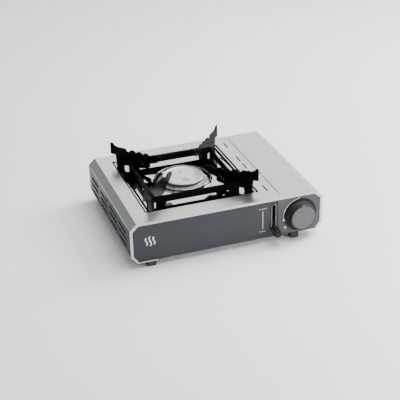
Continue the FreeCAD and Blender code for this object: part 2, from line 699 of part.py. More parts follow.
def make_burner():
    """The burner on the well's axis: cast body, port ring and cap, on a bracket from the floor."""
    ring_top = "(cap_top - cap_thick)"
    ring_low = f"({ring_top} - port_height)"
    body_profile = [
        ("0", "18"), ("24", "18"), ("30", "24"), ("30", "48"), ("35", f"{ring_low} - 8"),
        ("skirt_radius - 1", f"{ring_low} - skirt_drop - 2"), ("skirt_radius", f"{ring_low} - skirt_drop"),
        ("cap_radius + 0.5", f"{ring_low} - 0.8"), ("cap_radius - 1", ring_low), ("cap_radius - 6", ring_low),
        ("cap_radius - 8", f"{ring_low} - 6"), ("26", "48"), ("26", "26"), ("22", "22"), ("0", "22"),
    ]
    body = turned("burner_bowl", body_profile, BURNER_X, BURNER_Y, FLOOR)
    inlet = rod("burner_inlet", "z", "0", "0", "0", "mixer_radius - 1.5", "40")
    turn = FreeCAD.Rotation(FreeCAD.Vector(0, 0, 1), MIXER_ANGLE) * ALONG["x"]
    place(inlet, BURNER_X, BURNER_Y, f"{FLOOR} + mixer_height", turn)
    notch = rod("electrode_notch", "z", SPARK_X, SPARK_Y, f"{FLOOR} + 50", "5", "25")
    keep(cut("burner_bowl_cut", body, [inlet, notch]), "burner_body")

    ring_profile = [
        ("cap_radius - 5", ring_low), ("cap_radius - 1.6", ring_low),
        ("cap_radius - 1.6", ring_top), ("cap_radius - 5", ring_top),
    ]
    keep(turned("port_ring", ring_profile, BURNER_X, BURNER_Y, FLOOR), "burner_ring")
    cap_profile = [
        ("0", ring_top), ("cap_radius - 1.5", ring_top), ("cap_radius", f"{ring_top} + 1.2"),
        ("cap_radius", "cap_top - 1"), ("cap_radius - 1", "cap_top"), ("cap_radius - 3.4", "cap_top"),
        ("cap_radius - 4.6", "cap_top - 1"), ("10", "cap_top - 1.3"), ("0", "cap_top - 1.3"),
    ]
    keep(turned("cap", cap_profile, BURNER_X, BURNER_Y, FLOOR), "burner_cap")

    seat = f"({FLOOR} + 18)"
    saddle = box("saddle", (f"{BURNER_X} - 34", f"{BURNER_X} + 34"), (f"{BURNER_Y} - 12", f"{BURNER_Y} + 12"),
                 (BAY_FLOOR, seat))
    hollow = box("saddle_hollow", (f"{BURNER_X} - 32.5", f"{BURNER_X} + 32.5"),
                 (f"{BURNER_Y} - 13", f"{BURNER_Y} + 13"), (f"{BAY_FLOOR} - 1", f"{seat} - 1.5"))
    keep(cut("saddle_cut", saddle, [hollow]), "burner_bracket")
    screws = []
    for side in (-1, 1):
        x = f"{BURNER_X} + {side} * 14"
        head = rod(f"bracket_head_{side + 1}", "z", x, BURNER_Y, f"{seat} - 3.5", "3", "2")
        screws.append(head)
    keep(group("bracket_screws", screws), "burner_screws")


def along_mixer(distance, height="mixer_height"):
    """A place on the mixer tube's line, by distance from the burner's axis."""
    return (
        f"{BURNER_X} + ({distance}) * cos({MIXER_ANGLE})",
        f"{BURNER_Y} + ({distance}) * sin({MIXER_ANGLE})",
        f"{FLOOR} + {height}",
    )


def make_gas_supply():
    """Mixer tube, jet and the pipe from the regulator, which passes under the lever."""
    turn = FreeCAD.Rotation(FreeCAD.Vector(0, 0, 1), MIXER_ANGLE) * ALONG["x"]
    tube_outer = rod("mixer_outer", "z", "0", "0", "0", "mixer_radius", "62")
    tube_inner = rod("mixer_inner", "z", "0", "0", "0", "mixer_radius - 1.5", "64")
    place(tube_outer, *along_mixer("30"), turn)
    place(tube_inner, *along_mixer("29"), turn)
    bowl = rod("mixer_bowl", "z", BURNER_X, BURNER_Y, f"{FLOOR} + 16", "30", "30")
    keep(cut("mixer_cut", tube_outer, [tube_inner, bowl]), "mixer_tube")
    jet = rod("jet", "z", "0", "0", "0", "5", "14")
    place(jet, *along_mixer("92"), turn)
    keep(jet, "gas_jet")
    jet_back = along_mixer("106")
    outlet_y = f"{FRONT} + pipe_back"
    low = f"{FLOOR} + pipe_up"
    corner = along_mixer(PIPE_CORNER, "pipe_up")
    points = [
        ("axis_right - regulator_radius + 5", outlet_y, low),
        corner,
        along_mixer("146", "pipe_up"),
        along_mixer("124"),
        jet_back,
    ]
    keep(tube("pipe", points, "pipe_radius"), "gas_pipe")


def make_regulator():
    """The regulator behind the control plate, with the cartridge inlet at its back."""
    shaft_hole = "shaft_radius + running"
    profile = [
        (shaft_hole, "0"), ("9", "0"), ("9", "5"), ("regulator_radius", "5"), ("regulator_radius", "23"),
        ("13", "26"), ("13", "33"), ("inlet_radius + 8", "33"), ("inlet_radius + 8", "40"),
        ("inlet_radius", "40"), ("inlet_radius", "35"), ("2", "35"), ("2", "20"), ("0", "20"), ("0", "16"),
        (shaft_hole, "16"),
    ]
    casting = turned("regulator", profile, "axis_right", PANEL_BACK, AXIS_Z, "back")
    boss = rod("outlet_boss", "x", "axis_right - regulator_radius + 5", f"{FRONT} + pipe_back",
               f"{FLOOR} + pipe_up", "4", "12")
    keep(fused("regulator_cast", [casting, boss]), "regulator_body")

    cover_profile = [("0", "-4"), ("8.5", "-4"), ("8.5", "2"), ("6", "4"), ("0", "4")]
    cover = turned("diaphragm", cover_profile, "axis_right", f"{PANEL_BACK} + 14",
                   f"{AXIS_Z} + regulator_radius")
    barrel = rod("cover_seat", "y", "axis_right", PANEL_BACK, AXIS_Z, "regulator_radius + gap / 3", "60")
    keep(cut("diaphragm_cut", cover, [barrel]), "diaphragm_cover")

    wall_y = f"({PANEL_BACK} + 29)"
    wall = plate(
        "bay_wall_blank", "XZ_Plane",
        [[
            (f"{HEAT_WALL} + 37", BAY_FLOOR),
            (f"{RIGHT} - low_bevel_run - sheet", BAY_FLOOR),
            (f"{RIGHT} - 2 * sheet", f"{FLOOR} + low_bevel_rise + 2 * sheet"),
            (f"{RIGHT} - 2 * sheet", f"{FLOOR} + 60"),
            (f"{HEAT_WALL} + 37", f"{FLOOR} + 60"),
        ], ("axis_right", AXIS_Z, "13 + gap / 3")],
        wall_y, f"{wall_y} + 1.2",
    )
    keep(wall, "bay_wall")
    guide = box("notch_key", ("axis_right - 3", "axis_right + 3"), (f"{wall_y} + 1.2", f"{wall_y} + 12"),
                (f"{AXIS_Z} + inlet_radius + 10", f"{AXIS_Z} + inlet_radius + 12.5"))
    keep(guide, "notch_guide")


def make_igniter():
    """Piezo igniter beside the regulator, its lead, and the spark electrode by the ports."""
    piezo_x = f"({HEAT_WALL} + 31)"
    piezo_y = f"({PANEL_BACK} + 16)"
    piezo_z = f"({FLOOR} + 57)"
    keep(rod("piezo", "y", piezo_x, PANEL_BACK, piezo_z, "5", "16"), "piezo_igniter")
    ceramic = turned("ceramic", [("0", "40"), ("3.2", "40"), ("3.2", "60"), ("2.2", "69"), ("0", "69")],
                     SPARK_X, SPARK_Y, FLOOR)
    keep(ceramic, "electrode_insulator")
    keep(rod("spark_pin", "z", SPARK_X, SPARK_Y, f"{FLOOR} + 69", "0.9", "5"), "electrode_pin")
    points = [
        (piezo_x, piezo_y, piezo_z),
        (piezo_x, f"{piezo_y} + 28", piezo_z),
        (f"{HEAT_WALL} + 26", f"{piezo_y} + 68", f"{FLOOR} + 60"),
        (f"{HEAT_WALL} + 10", f"{BURNER_Y} + 2", f"{FLOOR} + 56"),
        (f"{HEAT_WALL} - 12", f"{BURNER_Y} + 36", f"{FLOOR} + 40"),
        (f"{BURNER_X} + 62", f"{BURNER_Y} + 46", f"{FLOOR} + 22"),
        (SPARK_X, SPARK_Y, f"{FLOOR} + 14"),
        (SPARK_X, SPARK_Y, f"{FLOOR} + 40"),
    ]
    keep(tube("lead", points, "lead_radius"), "ignition_lead")


def make_heat_shield():
    """The upright plate between the burner well and the cartridge bay."""
    shield = plate(
        "shield_blank", "YZ_Plane",
        [rectangle(f"{FRONT} + 12", f"{BACK} - 12", BAY_FLOOR, f"{TOP} - sheet - 1")],
        HEAT_WALL, f"{HEAT_WALL} + sheet",
    )
    pipe_hole = rod("shield_pipe_hole", "x", f"{HEAT_WALL} - 4", f"{BURNER_Y} + {BURNER_X} - {HEAT_WALL}",
                    f"{FLOOR} + pipe_up", "pipe_radius + 4", "8")
    lead_hole = rod("shield_lead_hole", "x", f"{HEAT_WALL} - 4", f"{BURNER_Y} + 17", f"{FLOOR} + 50", "10", "8")
    return keep(cut("shield_cut", shield, [pipe_hole, lead_hole]), "heat_shield")


# ---- Controls -----------------------------------------------------------------------------------

def make_knob():
    """The tapered knob with its pointer, and the shaft into the regulator."""
    base = f"(-({CONTROL_FACE} + 0.7 * gap - {FRONT}))"
    profile = [
        ("shaft_radius", f"{base}"), ("knob_radius", f"{base}"), ("knob_radius", f"{base} + 1.5"),
        ("knob_face + 0.8", "knob_reach - 1"), ("knob_face", "knob_reach"), ("0", "knob_reach"),
        ("0", "knob_reach - 4"), ("shaft_radius", "knob_reach - 4"),
    ]
    cone = turned("knob_cone", profile, "axis_right", FRONT, AXIS_Z, "front")
    nub = box("knob_nub", ("axis_right - 2.2", "axis_right + 2.2"),
              (f"{FRONT} - knob_reach", f"{FRONT} - knob_reach + 5"),
              (f"{AXIS_Z} + knob_face - 3", f"{AXIS_Z} + knob_face + 1.8"))
    keep(fused("knob_whole", [cone, nub]), "knob")
    start = f"({FRONT} - knob_reach + 4)"
    shaft = rod("shaft", "y", "axis_right", start, AXIS_Z, "shaft_radius", f"{PANEL_BACK} + 15.5 - {start}")
    keep(shaft, "knob_shaft")


def lever_frame(item, along, up, x="slot_right"):
    """Tilt a piece drawn along -Y from the pivot to the lever's rest angle."""
    turn = FreeCAD.Rotation(FreeCAD.Vector(1, 0, 0), size(LEVER_ANGLE))
    item.Placement = FreeCAD.Placement(FreeCAD.Vector(), turn)
    item.setExpression(".Placement.Base.x", bound(x))
    y = f"{PIVOT_Y} + ({along}) * cos({LEVER_ANGLE}) - ({up}) * sin({LEVER_ANGLE})"
    z = f"{PIVOT_Z} + ({along}) * sin({LEVER_ANGLE}) + ({up}) * cos({LEVER_ANGLE})"
    item.setExpression(".Placement.Base.y", bound(y))
    item.setExpression(".Placement.Base.z", bound(z))
    item.setExpression(".Placement.Rotation.Angle", bound(LEVER_ANGLE))
    return item


def make_lever():
    """The lock lever: a web through the slot, a flat paddle outside and a drive arm inside."""
    web = plate(
        "lever_web", "YZ_Plane",
        [[
            (f"-{LEVER_LENGTH} + 12", "-lever_height / 2"),
            ("-12", "-lever_height / 2"),
            ("-3", "-6"),
            ("5", "-5"),
            ("5", "drive_arm + 3.5"),
            ("-5", "drive_arm + 3.5"),
            ("-7", "6"),
            ("-16", "lever_height / 2"),
            (f"-{LEVER_LENGTH} + 12", "lever_height / 2"),
        ], ("0", "0", "pin_radius + 1 + running")],
        "-lever_web / 2", "lever_web / 2",
    )
    lever_frame(web, "0", "0")
    paddle = doc.addObject("Part::Box", "paddle")
    for prop, text in (("Length", "paddle_width"), ("Width", PADDLE_LENGTH), ("Height", "lever_thick")):
        paddle.setExpression(prop, bound(text))
    drop = "-paddle_drop - lever_thick / 2"
    lever_frame(paddle, f"-{LEVER_LENGTH} + paddle_width / 2", drop, "slot_right - paddle_width / 2")
    tip = doc.addObject("Part::Cylinder", "paddle_tip")
    tip.setExpression("Radius", bound("paddle_width / 2"))
    tip.setExpression("Height", bound("lever_thick"))
    lever_frame(tip, f"-{LEVER_LENGTH} + paddle_width / 2", drop)
    keep(fused("lever_whole", [web, paddle, tip]), "lock_lever")

    pin = rod("drive", "x", "slot_right + lever_web / 2", "0", "0", "2", "7")
    pin_y = f"{PIVOT_Y} - drive_arm * sin({LEVER_ANGLE})"
    pin_z = f"{PIVOT_Z} + drive_arm * cos({LEVER_ANGLE})"
    place(pin, "slot_right + lever_web / 2", pin_y, pin_z, ALONG["x"])
    keep(pin, "drive_pin")

    pivot = rod("pivot", "x", "slot_right - 5.5", PIVOT_Y, PIVOT_Z, "pin_radius + 1", "10.5")
    keep(pivot, "lever_pivot_pin")
    ears = []
    for name, start in (("left", "slot_right - 5"), ("right", "slot_right + lever_web / 2 + gap + 0.2")):
        ear = plate(
            f"ear_{name}", "YZ_Plane",
            [[
                (f"{PIVOT_Y} - 7", BAY_FLOOR), (f"{PIVOT_Y} + 12", BAY_FLOOR),
                (f"{PIVOT_Y} + 4", f"{PIVOT_Z} + 5"), (f"{PIVOT_Y} - 4", f"{PIVOT_Z} + 5"),
            ], (PIVOT_Y, PIVOT_Z, "pin_radius + 1.02")],
            start, f"{start} + 1.5",
        )
        ears.append(ear)
    tie = box("ear_tie", ("slot_right - 5", "slot_right + lever_web / 2 + gap + 1.7"),
              (f"{PIVOT_Y} + 2", f"{PIVOT_Y} + 11"), (BAY_FLOOR, f"{BAY_FLOOR} + 1.5"))
    keep(fused("bracket_whole", ears + [tie]), "lever_bracket")


def make_carriage():
    """The sled that the lever drives along the bay, with its pad behind the cartridge."""
    low = f"({BAY_FLOOR} + 2 + gap)"
    ear_x = "(slot_right + lever_web / 2 + 4)"
    pin_y = f"({PIVOT_Y} - drive_arm * sin({LEVER_ANGLE}))"
    sled = box("sled_floor", (ear_x, "axis_right + 8"), (f"{PIVOT_Y} - 16", f"{PUSHER_Y} + 4"),
               (low, f"{low} + 1.5"))
    floor_gap = box("sled_gap", (f"{ear_x} + 14", "axis_right + 9"), (f"{PIVOT_Y} - 17", f"{PIVOT_Y} + 20"),
                    (f"{low} - 1", f"{low} + 3"))
    ear = box("sled_ear", (ear_x, f"{ear_x} + 1.5"), (f"{PIVOT_Y} - 12", f"{PIVOT_Y} + 9"),
              (low, f"{PIVOT_Z} + drive_arm + 5"))
    notch = box("sled_notch", (f"{ear_x} - 1", f"{ear_x} + 3"), (f"{pin_y} - 2 - gap", f"{pin_y} + 2 + gap"),
                (f"{PIVOT_Z} + drive_arm - 5", f"{PIVOT_Z} + drive_arm + 6"))
    pusher = box("sled_pusher", ("axis_right - 18", "axis_right + 8"), (f"{PUSHER_Y} + 2.5", f"{PUSHER_Y} + 4"),
                 (low, f"{AXIS_Z} + 14"))
    whole = fused("sled_whole", [cut("sled_cut", sled, [floor_gap]), cut("sled_ear_cut", ear, [notch]), pusher])
    keep(whole, "cartridge_sled")
    pad_block = rod("pad_block", "y", "axis_right - 5", PUSHER_Y, AXIS_Z, "9", "2.5")
    keep(pad_block, "sled_pad")
    rails = []
    for number, x in enumerate((f"{ear_x} + 4", "axis_right + 3")):
        rails.append(box(f"rail_{number}", (x, f"{x} + 3"), (f"{PIVOT_Y} + 24", f"{PUSHER_Y} - 6"),
                         (BAY_FLOOR, f"{low} - gap")))
    keep(group("rails", rails), "sled_rails")


# ---- Lid ----------------------------------------------------------------------------------------

def make_lid():
    """The cartridge lid: top, bevel and side in one sheet, with its hinge barrels."""
    edge = "(lid_edge + lid_gap / 2)"
    thin = "lid_sheet"
    ease = "0.586 * lid_sheet"
    low = f"({FLOOR} + lid_low + gap)"
    strip = [
        (edge, TOP),
        (f"{RIGHT} - top_bevel_run", TOP),
        (RIGHT, f"{TOP} - top_bevel_drop"),
        (RIGHT, low),
        (f"{RIGHT} - {thin}", low),
        (f"{RIGHT} - {thin}", f"{TOP} - {thin} - top_bevel_drop + {ease}"),
        (f"{RIGHT} - {thin} - top_bevel_run + {ease}", f"{TOP} - {thin}"),
        (edge, f"{TOP} - {thin}"),
    ]
    skin = plate("lid_skin", "XZ_Plane", [strip], FRONT, BACK)
    round_folds(skin, strip[1:3], "fold_radius")
    round_folds(skin, strip[5:7], "fold_radius - lid_sheet")
    front_corner = rectangle(f"{edge} - 2", "corner_notch", f"{FRONT} - 1", f"{FRONT} + corner_depth + gap")
    back_corner = rectangle(f"{edge} - 2", "corner_notch", f"{BACK} - corner_depth - gap", f"{BACK} + 1")
    pocket(skin, "XY_Plane", [front_corner], f"{TOP} - 3", f"{TOP} + 1")
    pocket(skin, "XY_Plane", [back_corner], f"{TOP} - 3", f"{TOP} + 1")
    barrels = []
    for number, (end, side) in enumerate(((FRONT, 1), (BACK, -1), (MIDDLE, 1))):
        offset = f"corner_depth + gap + 2" if end != MIDDLE else "-14"
        start = f"({end} + {offset})" if side > 0 else f"({end} - ({offset}) - 28)"
        barrel = rod(f"barrel_{number}", "y", HINGE_X, start, HINGE_Z, f"{TOP} - {thin} - {HINGE_Z}", "28")
        web = box(f"barrel_web_{number}", (f"{HINGE_X} - 2.6", f"{HINGE_X} + 2.6"), (start, f"{start} + 28"),
                  (f"{HINGE_Z} + 1.6", f"{TOP} - {thin}"))
        barrels += [barrel, web]
    bore = rod("barrel_bore", "y", HINGE_X, FRONT, HINGE_Z, "pin_radius + running", "body_depth")
    keep(fused("lid_whole", [skin, cut("barrel_cut", fused("barrel_all", barrels), [bore])]), "lid")

    keep(rod("hinge_rod", "y", HINGE_X, f"{FRONT} + rim_depth + panel_sheet + 1", HINGE_Z, "pin_radius",
             "body_depth - 2 * (rim_depth + panel_sheet + 1)"), "lid_hinge_pin")
    lugs = []
    for number, start in enumerate((f"({FRONT} + 5)", f"({BACK} - 10)")):
        block = box(f"lug_{number}", (f"{HINGE_X} - 5", f"{HINGE_X} + 3"), (start, f"{start} + 5"),
                    (f"{HINGE_Z} - 3", f"{TOP} - sheet"))
        bore = rod(f"lug_bore_{number}", "y", HINGE_X, f"{start} - 1", HINGE_Z, "pin_radius + 0.02", "7")
        lugs.append(cut(f"lug_cut_{number}", block, [bore]))
    keep(group("lugs", lugs), "hinge_lugs")


def make_base_screws():
    """Four pan-head screws through the base pan into the body's flange."""
    screws = []
    for number, (x, y) in enumerate(base_screw_places()):
        shank = rod(f"screw_shank_{number}", "z", x, y, f"{FLOOR} + sheet", "1.5", "sheet + 0.5")
        head = rod(f"screw_head_{number}", "z", x, y, BAY_FLOOR, "3", "2")
        screws.append(fused(f"screw_{number}", [shank, head]))
    keep(group("base_fasteners", screws), "base_screws")


def check_and_write():
    """Refuse a failed object, then write each sub-part to its own file."""
    doc.recompute()
    failed = [item.Name for item in doc.Objects if "Invalid" in item.State or "Error" in item.State]
    for item in parts:
        if item.Shape.isNull() or not item.Shape.isValid() or not item.Shape.Solids:
            failed.append(item.Label)
    if failed:
        raise RuntimeError("failed: " + ", ".join(failed))
    os.makedirs("parts", exist_ok=True)
    for item in parts:
        item.Shape.exportStep(f"parts/{item.Label}.step")
    print(f"{len(parts)} sub-parts written")


def main():
    fill_sheet()
    make_body_shell()
    make_base_pan()
    make_panels()
    make_feet()
    make_drip_tray()
    make_pan_support()
    make_burner()
    make_gas_supply()
    make_regulator()
    make_igniter()
    make_heat_shield()
    make_knob()
    make_lever()
    make_carriage()
    make_lid()
    make_base_screws()
    check_and_write()


main()
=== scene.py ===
"""A compact camping stove: its finishes, its fine detail and the studio around it."""
import logging
import math
from collections.abc import Callable, Iterable, Sequence
from dataclasses import dataclass, replace
from enum import Enum

import bmesh
import bpy
from mathutils import Matrix, Vector


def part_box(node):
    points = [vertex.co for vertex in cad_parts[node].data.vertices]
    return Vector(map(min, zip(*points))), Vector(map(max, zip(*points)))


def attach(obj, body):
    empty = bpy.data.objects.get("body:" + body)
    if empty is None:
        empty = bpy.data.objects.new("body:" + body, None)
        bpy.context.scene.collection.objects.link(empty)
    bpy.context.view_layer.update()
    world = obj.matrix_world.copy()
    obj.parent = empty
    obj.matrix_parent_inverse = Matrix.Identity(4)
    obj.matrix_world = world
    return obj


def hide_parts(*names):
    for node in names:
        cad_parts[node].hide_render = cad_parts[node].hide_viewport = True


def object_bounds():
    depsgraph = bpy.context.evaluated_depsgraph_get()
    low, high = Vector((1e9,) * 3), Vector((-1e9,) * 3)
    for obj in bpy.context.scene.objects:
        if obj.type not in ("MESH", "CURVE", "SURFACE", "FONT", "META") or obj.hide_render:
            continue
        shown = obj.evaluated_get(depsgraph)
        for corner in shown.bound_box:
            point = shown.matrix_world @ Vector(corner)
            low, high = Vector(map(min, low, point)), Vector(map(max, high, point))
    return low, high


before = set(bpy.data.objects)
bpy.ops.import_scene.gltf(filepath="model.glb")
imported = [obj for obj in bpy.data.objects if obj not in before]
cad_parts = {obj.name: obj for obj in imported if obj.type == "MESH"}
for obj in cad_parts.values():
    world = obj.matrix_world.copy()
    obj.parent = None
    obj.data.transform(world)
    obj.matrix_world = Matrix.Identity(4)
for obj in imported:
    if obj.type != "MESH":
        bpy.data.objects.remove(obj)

LOG = logging.getLogger("camping_stove")
CAD_LOW, CAD_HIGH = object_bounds()
MM = 0.001

Pair = tuple[float, float]
Point = tuple[float, float, float]
Colour = tuple[float, float, float]
Socket = bpy.types.NodeSocket
Mesh = bmesh.types.BMesh
Ring = list[bmesh.types.BMVert]


class Grain(Enum):
    """The way a brushed sheet was rubbed, as repeats per metre along each axis."""

    ACROSS = (14.0, 1500.0, 14.0)
    ALONG = (1500.0, 14.0, 1500.0)


class Group(Enum):
    """The moving groups that a piece can ride on."""

    STOVE = "stove"
    KNOB = "knob"
    LEVER = "lever"
    LID = "lid"
    TRAY = "drip_tray"


# ---- Material graphs ----------------------------------------------------------------------------

def scaled(values: Point, factor: float) -> Point:
    """Three numbers, such as a colour's, times a factor."""
    return tuple(value * factor for value in values)


@dataclass(frozen=True)
class Pattern:
    """A noise: its repeats per metre, its finer octaves and their strength, and a stretch of the axes."""

    scale: float
    detail: float
    rough: float = 0.55
    stretch: Point | None = None


class Graph:
    """A material's node graph, built one node at a time."""

    def __init__(self, name: str) -> None:
        """Start a material that has a Principled shader and nothing else.

        Args:
            name: the material's name.
        """
        self.material = bpy.data.materials.new(name)
        self.material.use_nodes = True
        self.tree = self.material.node_tree
        self.shader = next(node for node in self.tree.nodes if node.type == "BSDF_PRINCIPLED")
        self.place = self.add("ShaderNodeTexCoord").outputs["Object"]

    def add(self, kind: str, **settings: object) -> bpy.types.Node:
        """Add a node.

        Args:
            kind: the node's class name.
            settings: properties of the node.

        Returns:
            The new node.
        """
        node = self.tree.nodes.new(kind)
        for key, setting in settings.items():
            setattr(node, key, setting)
        return node

    def link(self, source: Socket, target: Socket) -> None:
        """Join an output to an input."""
        self.tree.links.new(source, target)

    def stretched(self, scale: Point) -> Socket:
        """Object coordinates scaled differently along each axis.

        Args:
            scale: the factor along each axis.

        Returns:
            The coordinates' socket.
        """
        mapping = self.add("ShaderNodeMapping")
        mapping.inputs["Scale"].default_value = scale
        self.link(self.place, mapping.inputs["Vector"])
        return mapping.outputs["Vector"]

    def noise(self, pattern: Pattern) -> Socket:
        """A noise pattern's factor.

        Args:
            pattern: the noise.

        Returns:
            The factor's socket.
        """
        node = self.add("ShaderNodeTexNoise")
        node.inputs["Scale"].default_value = pattern.scale
        node.inputs["Detail"].default_value = pattern.detail
        node.inputs["Roughness"].default_value = pattern.rough
        vector = self.stretched(pattern.stretch) if pattern.stretch else self.place
        self.link(vector, node.inputs["Vector"])
        return node.outputs["Fac"]

    def ranged(self, factor: Socket, low: float, high: float, start: float = 0.3,
               end: float = 0.7) -> Socket:
        """A factor remapped to a range.

        Args:
            factor: the socket to remap.
            low: result at start.
            high: result at end.
            start: input that gives low.
            end: input that gives high.

        Returns:
            The result's socket.
        """
        node = self.add("ShaderNodeMapRange")
        node.inputs["From Min"].default_value = start
        node.inputs["From Max"].default_value = end
        node.inputs["To Min"].default_value = low
        node.inputs["To Max"].default_value = high
        self.link(factor, node.inputs["Value"])
        return node.outputs["Result"]

    def blended(self, factor: Socket, first: Colour | Socket, second: Colour | Socket) -> Socket:
        """A colour between two.

        Args:
            factor: how much of the second there is.
            first: a colour, or the socket of one.
            second: a colour, or the socket of one.

        Returns:
            The result's socket.
        """
        node = self.add("ShaderNodeMix", data_type="RGBA")
        self.link(factor, node.inputs["Factor"])
        targets = [socket for socket in node.inputs if socket.type == "RGBA"]
        for target, colour in zip(targets, (first, second)):
            if isinstance(colour, Socket):
                self.link(colour, target)
            else:
                target.default_value = (*colour, 1.0)
        return next(socket for socket in node.outputs if socket.type == "RGBA")

    def bump(self, heights: Iterable[tuple[Socket, float]]) -> None:
        """Relief from one or more patterns.

        Args:
            heights: pairs of a pattern's socket and its depth in metres.
        """
        normal = None
        for height, depth in heights:
            node = self.add("ShaderNodeBump")
            node.inputs["Strength"].default_value = 1.0
            node.inputs["Distance"].default_value = depth
            self.link(height, node.inputs["Height"])
            if normal is not None:
                self.link(normal, node.inputs["Normal"])
            normal = node.outputs["Normal"]
        self.link(normal, self.shader.inputs["Normal"])


@dataclass(frozen=True)
class Finish:
    """A finish: one pattern moves its colour, another its roughness, and either can stand in relief."""

    name: str
    colour: Colour
    roughness: float
    tone: Pattern
    shades: Pair
    skin: Pattern
    spread: Pair
    tone_relief: float = 0.0
    skin_relief: float = 0.0
    metallic: float = 0.0
    gloss: float = 0.5
    tone_ends: Pair = (0.3, 0.7)

    def material(self) -> bpy.types.Material:
        """Build the material.

        Returns:
            The material.
        """
        graph = Graph(self.name)
        tone, skin = graph.noise(self.tone), graph.noise(self.skin)
        dark, light = (scaled(self.colour, factor) for factor in self.shades)
        tint = graph.blended(graph.ranged(tone, 0.0, 1.0, *self.tone_ends), dark, light)
        below, above = self.spread
        rough = graph.ranged(skin, self.roughness - below, self.roughness + above)
        graph.link(self.over_colour(graph, tint), graph.shader.inputs["Base Color"])
        graph.link(self.over_roughness(graph, rough), graph.shader.inputs["Roughness"])
        graph.shader.inputs["Metallic"].default_value = self.metallic
        graph.shader.inputs["Specular IOR Level"].default_value = self.gloss
        heights = ((tone, self.tone_relief), (skin, self.skin_relief))
        graph.bump(pair for pair in heights if pair[1] > 0)
        return graph.material

    def over_colour(self, graph: Graph, tint: Socket) -> Socket:
        """What a kind of finish adds to its colour: nothing here."""
        return tint

    def over_roughness(self, graph: Graph, rough: Socket) -> Socket:
        """What a kind of finish adds to its roughness: nothing here."""
        return rough


@dataclass(frozen=True)
class HandledSteel(Finish):
    """Brushed sheet with faint handling marks, and side walls coloured dark as painted shade if asked."""

    smudge: Pattern = Pattern(18.0, 3.0, 0.6)
    smudge_spread: Pair = (-0.02, 0.04)
    # The side walls' dark colour: painted shade, standing in for the shade on the walls.
    wall_paint: Colour | None = None
    wall_facing: Pair = (0.94, 0.96)

    def over_roughness(self, graph: Graph, rough: Socket) -> Socket:
        """Add the handling marks.

        Args:
            graph: the material being built.
            rough: the roughness of the brushing.

        Returns:
            The roughness of both together.
        """
        total = graph.add("ShaderNodeMath", operation="ADD")
        graph.link(rough, total.inputs[0])
        graph.link(graph.ranged(graph.noise(self.smudge), *self.smudge_spread), total.inputs[1])
        return total.outputs[0]

    def over_colour(self, graph: Graph, tint: Socket) -> Socket:
        """Colour the walls that face left and right dark as painted shade, and leave the rest bare.

        Args:
            graph: the material being built.
            tint: the bare metal's colour.

        Returns:
            The colour of both together.
        """
        if self.wall_paint is None:
            return tint
        # Painted shade: faces whose normal points left or right take the dark wall colour.
        parts = graph.add("ShaderNodeSeparateXYZ")
        graph.link(graph.add("ShaderNodeTexCoord").outputs["Normal"], parts.inputs[0])
        sideways = graph.add("ShaderNodeMath", operation="ABSOLUTE")
        graph.link(parts.outputs["X"], sideways.inputs[0])
        bare = graph.ranged(sideways.outputs[0], 1.0, 0.0, *self.wall_facing)
        painted = graph.ranged(sideways.outputs[0], 0.0, 1.0, *self.wall_facing)
        graph.link(bare, graph.shader.inputs["Metallic"])
        return graph.blended(painted, tint, self.wall_paint)


BROAD_GRAIN = 0.17


def brushed(name: str, colour: Colour, roughness: float, grain: Grain, **settings: object) -> HandledSteel:
    """Stainless sheet rubbed one way.

    Args:
        name: the finish's name.
        colour: the bare metal's colour.
        roughness: its middle roughness.
        grain: the way it was rubbed.
        settings: other fields of the finish.

    Returns:
        The finish.
    """
    fine = Pattern(1.0, 4.0, 0.7, grain.value)
    broad = Pattern(1.0, 2.0, 0.5, scaled(grain.value, BROAD_GRAIN))
    return HandledSteel(name, colour, roughness, fine, (0.9, 1.0), broad, (0.04, 0.05), 0.000012, 0.00001,
                        1.0, **settings)


# Bright pressed sheet that mirrors what stands on it, dulled a little by heat.
POLISHED = Finish("polished", (0.42, 0.42, 0.415), 0.04, Pattern(22.0, 3.0), (0.86, 1.0),
                  Pattern(1.0, 3.0, 0.6, (40.0, 900.0, 40.0)), (0.0, 0.04), 0.00003, 0.000002, 1.0)
# Baked paint with a faint orange peel and a fine metallic fleck.
SATIN = Finish("satin", (0.043, 0.046, 0.053), 0.42, Pattern(5200.0, 1.0), (0.88, 1.12),
               Pattern(900.0, 2.0), (0.03, 0.05), skin_relief=0.00002, metallic=0.3, gloss=0.2)
# Textured paint with a fine sandy tooth.
SAND = Finish("sand", (0.075, 0.078, 0.085), 0.46, Pattern(1150.0, 2.0, 0.7), (0.55, 1.45),
              Pattern(60.0, 2.0), (0.0, 0.1), tone_relief=0.00012, metallic=0.2, gloss=0.25)
# Black vitreous enamel on steel, thick, glossy and slightly wavy.
ENAMEL = Finish("enamel", (0.004, 0.004, 0.005), 0.2, Pattern(2400.0, 1.0), (1.0, 2.5),
                Pattern(140.0, 2.0), (0.04, 0.06), skin_relief=0.00003, gloss=0.02, tone_ends=(0.6, 0.8))
# Alloy as it leaves the mould, finely pitted.
CAST = Finish("cast", (0.24, 0.24, 0.235), 0.42, Pattern(70.0, 3.0), (0.8, 1.1),
              Pattern(1300.0, 3.0, 0.65), (0.06, 0.1), skin_relief=0.00006, metallic=0.85)
# Plated or drawn metal with tool marks around or along it.
TURNED = Finish("turned", (0.6, 0.6, 0.6), 0.26, Pattern(120.0, 2.0), (0.85, 1.0),
                Pattern(1.0, 3.0, 0.6, (200.0, 200.0, 2600.0)), (0.05, 0.1), skin_relief=0.00001,
                metallic=1.0)
# Moulded plastic or rubber with a spark-eroded skin.
MOULDED = Finish("moulded", (0.012, 0.012, 0.013), 0.45, Pattern(80.0, 2.0), (0.9, 1.1),
                 Pattern(2600.0, 2.0, 0.6), (0.05, 0.08), skin_relief=0.00003, gloss=0.22)
# Screen-printed ink, a little uneven.
INK = Finish("ink", (0.9, 0.9, 0.9), 0.45, Pattern(1500.0, 2.0), (0.88, 1.0),
             Pattern(1500.0, 2.0), (0.0, 0.15), skin_relief=0.00001)

